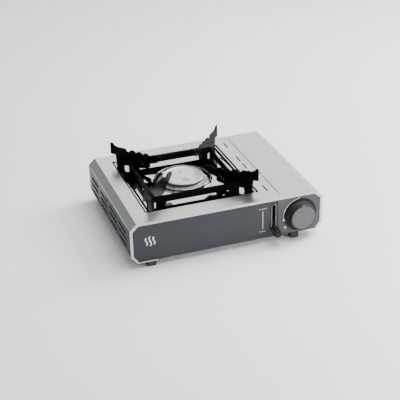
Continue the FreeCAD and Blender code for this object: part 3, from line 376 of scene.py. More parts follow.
FINISHES = (
    # shell_steel: bare brushed top, with side walls coloured dark as painted shade.
    brushed("shell_steel", (0.53, 0.535, 0.53), 0.3, Grain.ACROSS, gloss=0.05,
            wall_paint=(0.016, 0.019, 0.024)),
    brushed("mill_sheet", (0.5, 0.51, 0.52), 0.36, Grain.ALONG),
    replace(POLISHED, name="polished_tray"),
    replace(SATIN, name="panel_paint"),
    # The louvre lips: the walls' painted shade, made lighter as a painted highlight where they catch light
    # from above.
    replace(SATIN, name="wall_paint", colour=(0.07, 0.08, 0.09)),
    replace(SATIN, name="rear_paint", colour=(0.07, 0.075, 0.085)),
    replace(SAND, name="control_paint"),
    replace(ENAMEL, name="black_enamel"),
    replace(CAST, name="cast_alloy"),
    replace(CAST, name="pressed_cap", colour=(0.62, 0.62, 0.6), roughness=0.34, skin_relief=0.00003),
    # The cap's ridges: coloured much darker than the cap.
    replace(CAST, name="dark_ridge_cap", colour=(0.16, 0.16, 0.16), roughness=0.4, skin_relief=0.00003),
    replace(TURNED, name="plated_steel"),
    replace(TURNED, name="ring_steel", colour=(0.06, 0.06, 0.06), roughness=0.45),
    replace(TURNED, name="drawn_tube", colour=(0.55, 0.55, 0.54), roughness=0.3),
    replace(TURNED, name="brass", colour=(0.72, 0.53, 0.22), roughness=0.24),
    # Painted highlight: the bend bead is much brighter than the shell's own steel.
    replace(TURNED, name="bend_highlight_steel", colour=(0.85, 0.87, 0.88), roughness=0.4),
    # Painted highlight: the slot's rim bead is light grey against the black bezel.
    replace(TURNED, name="rim_highlight_trim", colour=(0.42, 0.43, 0.44), roughness=0.35),
    replace(MOULDED, name="black_moulding"),
    replace(MOULDED, name="igniter_case", colour=(0.03, 0.03, 0.032)),
    replace(MOULDED, name="lead_sleeve", colour=(0.4, 0.06, 0.04), roughness=0.5),
    replace(MOULDED, name="knob_moulding", colour=(0.1, 0.1, 0.106), gloss=0.3),
    replace(MOULDED, name="knob_skirt", colour=(0.02, 0.022, 0.024), gloss=0.25),
    replace(MOULDED, name="gloss_moulding", colour=(0.008, 0.008, 0.009), roughness=0.16,
            skin_relief=0.00001, gloss=0.3),
    # Painted shade: near-black for the sheets behind the openings and the strip in the lid's gap.
    replace(MOULDED, name="shade_black", colour=(0.006, 0.006, 0.006), roughness=0.8,
            skin_relief=0.00004, gloss=0.1),
    replace(MOULDED, name="foot_rubber", colour=(0.035, 0.035, 0.036), roughness=0.6,
            skin_relief=0.00006, gloss=0.3),
    replace(MOULDED, name="glazed_ceramic", colour=(0.78, 0.77, 0.72), roughness=0.15,
            skin_relief=0.00001, gloss=0.7),
    replace(INK, name="white_ink"),
    replace(INK, name="grey_ink", colour=(0.34, 0.34, 0.34)),
)


# ---- Mesh helpers -------------------------------------------------------------------------------

WELD_REACH = 0.00001
POINT_RADIUS = 1e-7
INK_HEIGHT = 0.1 * MM
INK_SINK = 0.02 * MM
FORWARD = Matrix.Rotation(math.radians(90), 4, "X")
UP = Vector((0.0, 0.0, 1.0))
BACKWARD = Vector((0.0, 1.0, 0.0))


def mesh_piece(name: str, shape: Mesh, material: bpy.types.Material, group: Group,
               smooth: bool = True) -> bpy.types.Object:
    """Turn a mesh into a dressed piece that rides on a moving group.

    Args:
        name: the piece's name.
        shape: its mesh in the row frame, freed here.
        material: its finish.
        group: what it rides on.
        smooth: whether its faces are shaded smooth.

    Returns:
        The new object.
    """
    bmesh.ops.recalc_face_normals(shape, faces=shape.faces)
    data = bpy.data.meshes.new(name)
    shape.to_mesh(data)
    shape.free()
    data.materials.append(material)
    for face in data.polygons:
        face.use_smooth = smooth
    piece = bpy.data.objects.new(name, data)
    bpy.context.scene.collection.objects.link(piece)
    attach(piece, group.value)
    LOG.info("%s: %d faces", name, len(data.polygons))
    return piece


def soften(piece: bpy.types.Object, width: float, segments: int = 2, angle: float = 35.0,
           weld: bool = False) -> None:
    """Round a piece's sharp edges with modifiers.

    Args:
        piece: the object.
        width: width of the rounding in metres.
        segments: facets across it.
        angle: edges sharper than this many degrees are rounded.
        weld: whether split vertices are joined first.
    """
    if weld:
        joined = piece.modifiers.new("joined", "WELD")
        joined.merge_threshold = WELD_REACH
    rounding = piece.modifiers.new("rounding", "BEVEL")
    rounding.width = width
    rounding.segments = segments
    rounding.limit_method = "ANGLE"
    rounding.angle_limit = math.radians(angle)
    rounding.use_clamp_overlap = True
    rounding.harden_normals = True


def lathe(profile: Sequence[Pair], place: Matrix, steps: int = 96,
          ribs: Callable[[int, float], float] | None = None) -> Mesh:
    """A turned shape.

    Args:
        profile: (radius, height) pairs from one end of the axis to the other.
        place: where the axis goes.
        steps: points around.
        ribs: optional change of radius by profile index and angle.

    Returns:
        The mesh.
    """
    shape = bmesh.new()
    rings = []
    for index, (radius, height) in enumerate(profile):
        if radius < POINT_RADIUS:
            rings.append([shape.verts.new(place @ Vector((0.0, 0.0, height)))])
            continue
        ring = []
        for step in range(steps):
            angle = 2 * math.pi * step / steps
            reach = radius + (ribs(index, angle) if ribs else 0.0)
            spot = Vector((reach * math.cos(angle), reach * math.sin(angle), height))
            ring.append(shape.verts.new(place @ spot))
        rings.append(ring)
    for low, high in zip(rings, rings[1:]):
        join_rings(shape, low, high)
    return shape


def join_rings(shape: Mesh, low: Ring, high: Ring) -> None:
    """Close the surface between two rings; either may be a single point.

    Args:
        shape: the mesh they belong to.
        low: the first ring.
        high: the second ring, with its points in the same order.
    """
    count = max(len(low), len(high))
    for step in range(count):
        following = (step + 1) % count
        if len(low) == 1:
            shape.faces.new((low[0], high[step], high[following]))
        elif len(high) == 1:
            shape.faces.new((low[step], high[0], low[following]))
        else:
            shape.faces.new((low[step], high[step], high[following], low[following]))


def prism(shape: Mesh, outline: Iterable[Point], depth: Point) -> None:
    """Add a flat outline pulled out into a solid.

    Args:
        shape: the mesh to add to.
        outline: its corners in order.
        depth: how far and where the second face lies.
    """
    near = [shape.verts.new(Vector(corner)) for corner in outline]
    far = [shape.verts.new(vert.co + Vector(depth)) for vert in near]
    shape.faces.new(near)
    shape.faces.new(tuple(reversed(far)))
    count = len(near)
    for step in range(count):
        following = (step + 1) % count
        shape.faces.new((near[following], near[step], far[step], far[following]))


def middle_of(node: str) -> Vector:
    """The middle of a CAD node's box."""
    low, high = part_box(node)
    return (Vector(low) + Vector(high)) / 2


def arc(centre: Sequence[float], radius: float, start: float, end: float,
        steps: int) -> list[Pair]:
    """Points on an arc.

    Args:
        centre: its centre in the plane.
        radius: its radius.
        start: first angle in degrees.
        end: last angle in degrees.
        steps: number of chords.

    Returns:
        The points as pairs.
    """
    angles = [math.radians(start + (end - start) * step / steps) for step in range(steps + 1)]
    return [(centre[0] + radius * math.cos(a), centre[1] + radius * math.sin(a)) for a in angles]


def rounded_box(centre: Sequence[float], half: Sequence[float], radius: float,
                steps: int = 8, splits: int = 6) -> list[Pair]:
    """A rectangle with round corners, its sides divided evenly.

    Args:
        centre: its middle.
        half: half its width and half its depth.
        radius: corner radius.
        steps: chords at each corner.
        splits: parts of each side.

    Returns:
        Its points in order, starting after the corner at the lower right.
    """
    corners = ((1, 1, 0), (-1, 1, 90), (-1, -1, 180), (1, -1, 270))
    arcs = [arc((centre[0] + sx * (half[0] - radius), centre[1] + sy * (half[1] - radius)), radius,
                start, start + 90, steps) for sx, sy, start in corners]
    points = []
    for number, corner in enumerate(arcs):
        points += corner
        ahead = arcs[(number + 1) % len(arcs)][0]
        behind = corner[-1]
        for part in range(1, splits):
            share = part / splits
            points.append(tuple(b + (a - b) * share for a, b in zip(ahead, behind)))
    return points


def bead(shape: Mesh, path: Sequence[Vector], radii: Sequence[float], across: Vector,
         closed: bool = False, sides: int = 10) -> None:
    """Add a round bead along a flat path.

    Args:
        shape: the mesh to add to.
        path: its points.
        radii: its radius at each point.
        across: the direction square to the path's plane.
        closed: whether the path is a loop.
        sides: facets around it.
    """
    rings = []
    count = len(path)
    for index, (point, radius) in enumerate(zip(path, radii)):
        before = path[index - 1] if index or closed else point
        after = path[(index + 1) % count] if index < count - 1 or closed else point
        outward = (after - before).normalized().cross(across)
        ring = []
        for side in range(sides):
            angle = 2 * math.pi * side / sides
            offset = outward * math.cos(angle) + across * math.sin(angle)
            ring.append(shape.verts.new(point + offset * radius))
        rings.append(ring)
    following = rings[1:] + ([rings[0]] if closed else [])
    for low, high in zip(rings, following):
        join_rings(shape, low, high)
    if not closed:
        shape.faces.new(rings[0])
        shape.faces.new(tuple(reversed(rings[-1])))


def ridge(shape: Mesh, start: Vector, end: Vector, radius: float, across: Vector) -> None:
    """Add a straight bead whose ends taper away.

    Args:
        shape: the mesh to add to.
        start: one end.
        end: the other end.
        radius: its radius between the tapers.
        across: a direction square to it.
    """
    shares = (0.0, 0.02, 0.06, 0.12, 0.88, 0.94, 0.98, 1.0)
    swell = (0.12, 0.5, 0.85, 1.0, 1.0, 0.85, 0.5, 0.12)
    path = [start.lerp(end, share) for share in shares]
    bead(shape, path, [radius * part for part in swell], across)


def print_on(shape: Mesh, outline: Iterable[Pair], face: float,
             height: float = INK_HEIGHT) -> None:
    """Add a printed or inlaid shape to a front face.

    Args:
        shape: the mesh to add to.
        outline: its corners as (x, z) pairs.
        face: where the face lies along Y.
        height: how far it stands proud.
    """
    prism(shape, [(x, face + INK_SINK, z) for x, z in outline], (0.0, -height - INK_SINK, 0.0))


def slab(shape: Mesh, low: Point, high: Point) -> None:
    """Add a plain plate.

    Args:
        shape: the mesh to add to.
        low: its lowest corner.
        high: its highest corner.
    """
    (left, front, bottom), (right, back, top) = low, high
    outline = [(left, front, bottom), (right, front, bottom), (right, back, bottom), (left, back, bottom)]
    prism(shape, outline, (0.0, 0.0, top - bottom))


# ---- Carried-over pieces ------------------------------------------------------------------------

@dataclass
class Wardrobe:
    """Every finish of the stove, and which CAD pieces wear it."""

    def __post_init__(self) -> None:
        """Build the materials once."""
        self.materials = {finish.name: finish.material() for finish in FINISHES}

    def __getitem__(self, name: str) -> bpy.types.Material:
        """A finish's material by its name."""
        return self.materials[name]

    def dress(self, node: str, finish: str, rounding: float = 0.0) -> None:
        """Give a CAD piece its finish and round its cut edges.

        Args:
            node: the CAD node.
            finish: the finish's name.
            rounding: width of the rounding of its edges in metres, or none.
        """
        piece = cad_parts[node]
        piece.data.materials.clear()
        piece.data.materials.append(self[finish])
        if rounding > 0:
            soften(piece, rounding, weld=True)
        LOG.info("%s: %s", node, finish)


NODE_FINISHES: dict[str, tuple[float, tuple[str, ...]]] = {
    "shell_steel": (0.0, ("body_shell", "lid")),
    "mill_sheet": (0.0, ("base_pan", "heat_shield", "bay_wall", "burner_bracket", "lever_bracket",
                         "hinge_lugs", "sled_rails", "cartridge_sled", "notch_guide")),
    "panel_paint": (0.0002, ("front_panel",)),
    "rear_paint": (0.0002, ("rear_panel",)),
    "control_paint": (0.0002, ("control_plate",)),
    "black_moulding": (0.00035, ("knob_bezel", "lever_bezel", "lock_lever")),
    "foot_rubber": (0.0008, ("foot_front_left", "foot_front_right", "foot_rear_left", "foot_rear_right")),
    "black_enamel": (0.0004, ("pan_arm_front_left", "pan_arm_front_right", "pan_arm_back_left",
                              "pan_arm_back_right", "pan_bar_front", "pan_bar_back", "pan_bar_left",
                              "pan_bar_right")),
    "cast_alloy": (0.0, ("burner_body", "regulator_body")),
    "ring_steel": (0.0, ("burner_ring", "diaphragm_cover")),
    "plated_steel": (0.0, ("burner_screws", "base_screws", "drive_pin", "lever_pivot_pin", "lid_hinge_pin",
                           "knob_shaft", "electrode_pin")),
    "brass": (0.0, ("gas_jet",)),
    "drawn_tube": (0.0, ("gas_pipe", "mixer_tube")),
    "igniter_case": (0.0, ("piezo_igniter", "sled_pad")),
    "glazed_ceramic": (0.0, ("electrode_insulator",)),
    "lead_sleeve": (0.0, ("ignition_lead",)),
}


# ---- Detailed pieces ----------------------------------------------------------------------------

@dataclass
class Knob:
    """The gas knob: a dark knurled cone, a paler face and a pointer at the top.

    Profiles are (outward, back) pairs in millimetres from the edge they follow.
    """

    wardrobe: Wardrobe
    ribs: int = 46
    steps_per_rib: int = 8
    rib_depth: float = 0.75 * MM
    rib_points: tuple[int, int] = (4, 5)
    rib_start: float = 1.0 * MM
    rib_end: float = 2.0 * MM
    run_in: float = 0.4 * MM
    run_out: float = 0.5 * MM
    face_radius: float = 22.6 * MM
    base_band: float = 1.6 * MM
    lip: float = 1.0 * MM
    rim_step: float = 0.7 * MM
    rim_profile: tuple[Pair, ...] = ((0.7, 1.0), (0.35, 0.3), (-0.2, 0.1), (-1.0, 0.5))
    well_depth: float = 0.9 * MM
    face_gap: float = 0.05 * MM
    face_profile: tuple[Pair, ...] = ((0.0, 1.6), (0.0, 0.5), (-0.25, 0.12), (-0.9, 0.0), (-2.2, 0.05))
    dish: tuple[Pair, ...] = ((0.6, 0.3), (0.3, 0.42), (0.0, 0.45))
    pointer_half: float = 2.1 * MM
    pointer_reach: Pair = (-4.2 * MM, 1.7 * MM)
    pointer_corner: float = 1.2 * MM
    pointer_sink: float = 2.0 * MM
    pointer_height: float = 1.9 * MM
    pointer_rounding: float = 0.35 * MM

    def build(self) -> None:
        """Make the skirt, the face and the pointer."""
        low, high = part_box("knob")
        self.base_radius = (high.x - low.x) / 2
        self.depth = high.y - low.y
        centre = middle_of("knob_bezel")
        self.place = Matrix.Translation((centre.x, high.y, centre.z)) @ FORWARD
        self.skirt()
        self.face()
        self.pointer()

    def steps(self, radius: float, profile: Sequence[Pair]) -> list[Pair]:
        """A profile's points as radii and heights.

        Args:
            radius: the edge that the profile follows.
            profile: its (outward, back) pairs in millimetres.

        Returns:
            The points.
        """
        return [(radius + outward * MM, self.depth - back * MM) for outward, back in profile]

    def skirt(self) -> None:
        """The cone, ribbed around its side."""
        slope = (self.base_radius - self.face_radius - self.rim_step) / (self.depth - self.base_band)
        ribbed_low = self.base_band + self.rib_start
        ribbed_high = self.depth - self.rib_end

        def on_cone(height: float) -> Pair:
            """A profile point on the cone, at a height above the knob's base."""
            return self.base_radius - slope * (height - self.base_band), height

        def rib(index: int, angle: float) -> float:
            """How far a point sits in from the smooth cone.

            Args:
                index: the point's place in the profile.
                angle: its turn around the axis.

            Returns:
                A negative distance between ribs, or zero.
            """
            if index not in self.rib_points:
                return 0.0
            return -self.rib_depth * (0.5 - 0.5 * math.cos(self.ribs * angle))

        profile = [(0.0, 0.0), (self.base_radius, 0.0), (self.base_radius, self.base_band),
                   on_cone(ribbed_low - self.run_in), on_cone(ribbed_low), on_cone(ribbed_high),
                   on_cone(ribbed_high + self.run_out), *self.steps(self.face_radius, self.rim_profile),
                   (0.0, self.depth - self.well_depth)]
        piece = mesh_piece("knob_skirt", lathe(profile, self.place, self.ribs * self.steps_per_rib, rib),
                           self.wardrobe["knob_skirt"], Group.KNOB)
        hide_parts("knob")

    def face(self) -> None:
        """The paler disc set into the front, slightly dished."""
        edge = self.face_radius - self.lip - self.face_gap
        profile = [(0.0, self.depth - self.face_profile[0][1] * MM), *self.steps(edge, self.face_profile)]
        profile += [(edge * share, self.depth - back * MM) for share, back in self.dish]
        mesh_piece("knob_face", lathe(profile, self.place, 120), self.wardrobe["knob_moulding"],
                   Group.KNOB)

    def pointer(self) -> None:
        """The nub over the face's edge that points at the scale."""
        start, end = (self.face_radius + reach for reach in self.pointer_reach)
        outline = rounded_box((0.0, (start + end) / 2), (self.pointer_half, (end - start) / 2),
                              self.pointer_corner, 5, 1)
        base = [self.place @ Vector((x, y, self.depth - self.pointer_sink)) for x, y in outline]
        shape = bmesh.new()
        prism(shape, base, self.place.to_3x3() @ Vector((0.0, 0.0, self.pointer_height)))
        piece = mesh_piece("knob_pointer", shape, self.wardrobe["knob_moulding"], Group.KNOB,
                           False)
        soften(piece, self.pointer_rounding, 3)


@dataclass
class DialMarks:
    """The printed scale around the knob: an arc, its stops and the spark sign."""

    wardrobe: Wardrobe
    arc_radius: float = 31.3 * MM
    arc_width: float = 0.75 * MM
    low_stop: float = 191.0
    high_stop: float = 94.0
    dots: tuple[Pair, ...] = ((low_stop, 2.15 * MM), (157.0, 1.4 * MM))
    dot_height: float = 0.12 * MM
    spark_angle: float = 217.0
    spark_reach: float = 35.0 * MM
    spark_points: tuple[float, ...] = (3.0, 1.05, 4.3, 1.05, 3.0, 1.05, 4.3, 1.05)
    drop_offset: Pair = (-1.0, 1.2 * MM)
    drop_radius: float = 1.25 * MM
    drop_lower: float = 0.3 * MM
    drop_tip: float = 2.4 * MM

    def build(self) -> None:
        """Print every mark on the control plate."""
        centre = middle_of("knob_bezel")
        self.centre = (centre.x, centre.z)
        self.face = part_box("control_plate")[0].y
        self.scale()
        self.spark()
        self.full_sign()

    def at(self, angle: float, radius: float) -> Pair:
        """A place by angle and radius around the knob."""
        turn = math.radians(angle)
        return self.centre[0] + radius * math.cos(turn), self.centre[1] + radius * math.sin(turn)

    def mark(self, name: str, shape: Mesh, ink: str) -> None:
        """Finish one printed piece."""
        mesh_piece(name, shape, self.wardrobe[ink], Group.STOVE, False)

    def scale(self) -> None:
        """The arc, with a dot at each stop."""
        half = self.arc_width / 2
        outer = arc(self.centre, self.arc_radius + half, self.high_stop, self.low_stop, 48)
        inner = arc(self.centre, self.arc_radius - half, self.low_stop, self.high_stop, 48)
        shape = bmesh.new()
        print_on(shape, outer + inner, self.face)
        for angle, radius in self.dots:
            dot = arc(self.at(angle, self.arc_radius), radius, 0, 345, 23)
            print_on(shape, dot, self.face, self.dot_height)
        self.mark("dial_scale", shape, "white_ink")

    def spark(self) -> None:
        """A four-pointed star at the lighting stop."""
        x, z = self.at(self.spark_angle, self.spark_reach)
        outline = []
        for point, reach in enumerate(self.spark_points):
            turn = math.radians(45 * point)
            outline.append((x + reach * MM * math.cos(turn), z + reach * MM * math.sin(turn)))
        shape = bmesh.new()
        print_on(shape, outline, self.face)
        self.mark("spark_sign", shape, "white_ink")

    def full_sign(self) -> None:
        """A small drop at the full-flame stop."""
        turn, outward = self.drop_offset
        x, z = self.at(self.high_stop + turn, self.arc_radius + outward)
        belly = z - self.drop_lower
        outline = arc((x, belly), self.drop_radius, 380, 160, 14) + [(x, z + self.drop_tip)]
        shape = bmesh.new()
        print_on(shape, outline, self.face)
        self.mark("full_sign", shape, "grey_ink")


@dataclass
class LeverMarks:
    """What is printed and inlaid around the lever's slot, and the thumb rest on the lever."""

    wardrobe: Wardrobe
    line_offset: float = -20.2 * MM
    line_width: float = 0.75 * MM
    line_low: float = -21.1 * MM
    line_high: float = 13.4 * MM
    block_rows: tuple[tuple[float, int, float], ...] = ((-26.6, 5, 17.0), (-26.4, 4, -26.8))
    block_pitch: float = 2.9
    block_size: Pair = (2.1, 1.9)
    rim_inset: float = 1.55 * MM
    rim_radius: float = 0.42 * MM
    rest_tilt: float = 15.5
    rest_offset: Pair = (7.0 * MM, 6.15 * MM)
    rest_squash: float = 0.86
    rest_profile: tuple[Pair, ...] = ((0.0, -0.4), (5.3, -0.4), (5.4, 0.2), (5.0, 0.75), (4.2, 0.95),
                                      (3.0, 0.7), (0.0, 0.45))

    def build(self) -> None:
        """Make the travel line, its end bars, the slot's rim bead, coloured light as a painted highlight,
        and the thumb rest.
        """
        self.middle = middle_of("lever_bezel")
        self.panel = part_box("front_panel")[0].y
        self.travel_line()
        self.end_bars()
        self.slot_rim()
        self.thumb_rest()

    def bar(self, shape: Mesh, left: float, right: float, low: float, high: float) -> None:
        """Add one bar.

        Args:
            shape: the mesh to add to.
            left: its left side, from the slot's middle.
            right: its right side.
            low: its lower side.
            high: its upper side.
        """
        outline = [(left, low), (right, low), (right, high), (left, high)]
        print_on(shape, [(self.middle.x + x, self.middle.z + z) for x, z in outline], self.panel)

    def travel_line(self) -> None:
        """The line that shows the lever's travel."""
        shape = bmesh.new()
        half = self.line_width / 2
        self.bar(shape, self.line_offset - half, self.line_offset + half, self.line_low, self.line_high)
        mesh_piece("travel_line", shape, self.wardrobe["white_ink"], Group.STOVE, False)

    def end_bars(self) -> None:
        """Plain bars of small blocks at the two ends of the travel."""
        shape = bmesh.new()
        width, height = self.block_size
        for left, count, low in self.block_rows:
            for number in range(count):
                start = (left + self.block_pitch * number) * MM
                self.bar(shape, start, start + width * MM, low * MM, (low + height) * MM)
        mesh_piece("travel_end_bars", shape, self.wardrobe["grey_ink"], Group.STOVE, False)

    def slot_rim(self) -> None:
        """A bead inside the slot's bezel, coloured light grey as a painted highlight."""
        low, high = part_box("lever_bezel")
        half = (high.x - low.x) / 2 - self.rim_inset
        reach = (high.z - low.z) / 2 - self.rim_inset - half
        loop = arc((self.middle.x, self.middle.z + reach), half, 0, 180, 14)
        loop += arc((self.middle.x, self.middle.z - reach), half, 180, 360, 14)
        path = [Vector((x, low.y, z)) for x, z in loop]
        shape = bmesh.new()
        bead(shape, path, [self.rim_radius] * len(path), BACKWARD, closed=True)
        mesh_piece("slot_rim", shape, self.wardrobe["rim_highlight_trim"], Group.STOVE)

    def thumb_rest(self) -> None:
        """A glossy oval rest near the lever's tip."""
        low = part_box("lock_lever")[0]
        along = Matrix.Rotation(math.radians(self.rest_tilt), 4, "X")
        centre = Vector((self.middle.x, low.y + self.rest_offset[0], low.z + self.rest_offset[1]))
        place = Matrix.Translation(centre) @ along @ Matrix.Diagonal((1.0, self.rest_squash, 1.0, 1.0))
        profile = [(radius * MM, height * MM) for radius, height in self.rest_profile]
        mesh_piece("thumb_rest", lathe(profile, place, 64), self.wardrobe["gloss_moulding"], Group.LEVER)


@dataclass
class HeatBadge:
    """A plain sign on the front panel: three wavy lines for heat."""

    wardrobe: Wardrobe
    left: float = 27.2 * MM
    pitch: float = 6.6 * MM
    low: float = 28.4 * MM
    high: float = 47.4 * MM
    width: float = 2.3 * MM
    sway: float = 1.5 * MM
    shortening: tuple[float, ...] = (2.2 * MM, 0.0, 2.2 * MM)
    steps: int = 16

    def build(self) -> None:
        """Print the three lines."""
        shell_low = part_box("body_shell")[0]
        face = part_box("front_panel")[0].y
        shape = bmesh.new()
        for number, shorter in enumerate(self.shortening):
            middle = shell_low.x + self.left + self.pitch * number + self.width / 2
            side = []
            for step in range(self.steps + 1):
                share = step / self.steps
                height = self.low + shorter + (self.high - self.low - 2 * shorter) * share
                side.append((middle + self.sway * math.sin(2 * math.pi * share), shell_low.z + height))
            right = [(x + self.width / 2, z) for x, z in side]
            left = [(x - self.width / 2, z) for x, z in reversed(side)]
            print_on(shape, right + left, face)
        mesh_piece("heat_badge", shape, self.wardrobe["white_ink"], Group.STOVE, False)


@dataclass
class Burner:
    """The burner's visible top: dished cap, ring of ports and fluted skirt.

    Profiles are in millimetres: (inward, down) pairs from the cap's upper edge.
    """

    wardrobe: Wardrobe
    ports: int = 56
    flutes: int = 72
    flute_rise: float = 0.55 * MM
    under_profile: tuple[Pair, ...] = ((1.5, 0.0), (0.5, 0.5), (0.0, 1.4))
    rim_profile: tuple[Pair, ...] = ((0.0, 1.4), (0.35, 0.55), (1.0, 0.12), (1.8, 0.0), (2.7, 0.15),
                                     (3.4, 0.7), (4.2, 1.2), (5.4, 1.4))
    dish: tuple[Pair, ...] = ((0.55, 1.25), (0.3, 1.1), (0.0, 1.05))
    mark_rings: tuple[tuple[float, tuple[float, ...]], ...] = (
        (20.0, (252, 264, 276, 288)), (14.0, (259, 270, 281)), (16.0, (84, 96)))
    mark_depth: float = 1.22 * MM
    mark_half: float = 2.3 * MM
    mark_radius: float = 0.75 * MM
    tooth_inner: Pair = (-0.15 * MM, 1.05 * MM)
    tooth_outer: Pair = (-0.75 * MM, 1.15 * MM)
    flute_inner: Pair = (0.9 * MM, 0.55 * MM)
    flute_outer: Pair = (-0.4 * MM, 0.85 * MM)
    flute_drop: Pair = (0.95 * MM, 4.45 * MM)
    crest_inset: float = 0.6 * MM
    crest_lift: float = 0.25 * MM

    def build(self) -> None:
        """Make the cap, its marks, the port teeth and the flutes."""
        self.low, self.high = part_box("burner_cap")
        centre = middle_of("burner_cap")
        self.place = Matrix.Translation((centre.x, centre.y, 0.0))
        self.radius = (self.high.x - self.low.x) / 2
        self.cap()
        self.cap_marks()
        self.port_teeth()
        self.skirt_flutes()

    def around(self, count: int) -> list[Matrix]:
        """Places evenly turned about the burner's axis."""
        turns = (2 * math.pi * number / count for number in range(count))
        return [self.place @ Matrix.Rotation(turn, 4, "Z") for turn in turns]

    def cap(self) -> None:
        """The pressed cap with its rolled rim."""
        edge, top, low = self.radius, self.high.z, self.low.z
        profile = [(0.0, low)] + [(edge - inward * MM, low + up * MM) for inward, up in self.under_profile]
        profile += [(edge - inward * MM, top - down * MM) for inward, down in self.rim_profile]
        profile += [(edge * share, top - down * MM) for share, down in self.dish]
        piece = mesh_piece("cap_pressing", lathe(profile, self.place, 144), self.wardrobe["pressed_cap"],
                           Group.STOVE)
        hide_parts("burner_cap")

    def cap_marks(self) -> None:
        """Short ridges pressed into the dish."""
        shape = bmesh.new()
        floor = self.high.z - self.mark_depth
        for reach, angles in self.mark_rings:
            for turn in map(math.radians, angles):
                outward = Vector((math.cos(turn), math.sin(turn), 0.0))
                middle = self.place @ (outward * reach * MM + UP * floor)
                side = UP.cross(outward) * self.mark_half
                ridge(shape, middle - side, middle + side, self.mark_radius, UP)
        # The ridges are coloured much darker than the cap around them.
        mesh_piece("cap_ridges", shape, self.wardrobe["dark_ridge_cap"], Group.STOVE)

    def port_teeth(self) -> None:
        """The teeth between the flame ports under the cap's edge."""
        low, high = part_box("burner_ring")
        inner, inner_half = (high.x - low.x) / 2 + self.tooth_inner[0], self.tooth_inner[1]
        outer, outer_half = self.radius + self.tooth_outer[0], self.tooth_outer[1]
        outline = [(inner, -inner_half), (outer, -outer_half), (outer, outer_half), (inner, inner_half)]
        shape = bmesh.new()
        for place in self.around(self.ports):
            prism(shape, [place @ Vector((x, y, low.z)) for x, y in outline], (0.0, 0.0, high.z - low.z))
        mesh_piece("port_teeth", shape, self.wardrobe["pressed_cap"], Group.STOVE, False)

    def skirt_flutes(self) -> None:
        """Fine ribs that fan out over the cast skirt."""
        ring_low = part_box("burner_ring")[0].z
        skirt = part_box("burner_body")
        inner, inner_half = self.radius + self.flute_inner[0], self.flute_inner[1]
        outer, outer_half = (skirt[1].x - skirt[0].x) / 2 + self.flute_outer[0], self.flute_outer[1]
        inner_z, outer_z = (ring_low - drop for drop in self.flute_drop)
        corners = [(inner, -inner_half, inner_z), (outer, -outer_half, outer_z),
                   (outer, outer_half, outer_z), (inner, inner_half, inner_z),
                   (inner + self.crest_inset, 0.0, inner_z + self.flute_rise),
                   (outer - self.crest_inset, 0.0, outer_z + self.crest_lift + self.flute_rise)]
        shape = bmesh.new()
        for place in self.around(self.flutes):
            verts = [shape.verts.new(place @ Vector(corner)) for corner in corners]
            for face in ((0, 1, 2, 3), (0, 4, 5, 1), (3, 2, 5, 4), (0, 3, 4), (1, 5, 2)):
                shape.faces.new([verts[index] for index in face])
        mesh_piece("skirt_flutes", shape, self.wardrobe["cast_alloy"], Group.STOVE, False)


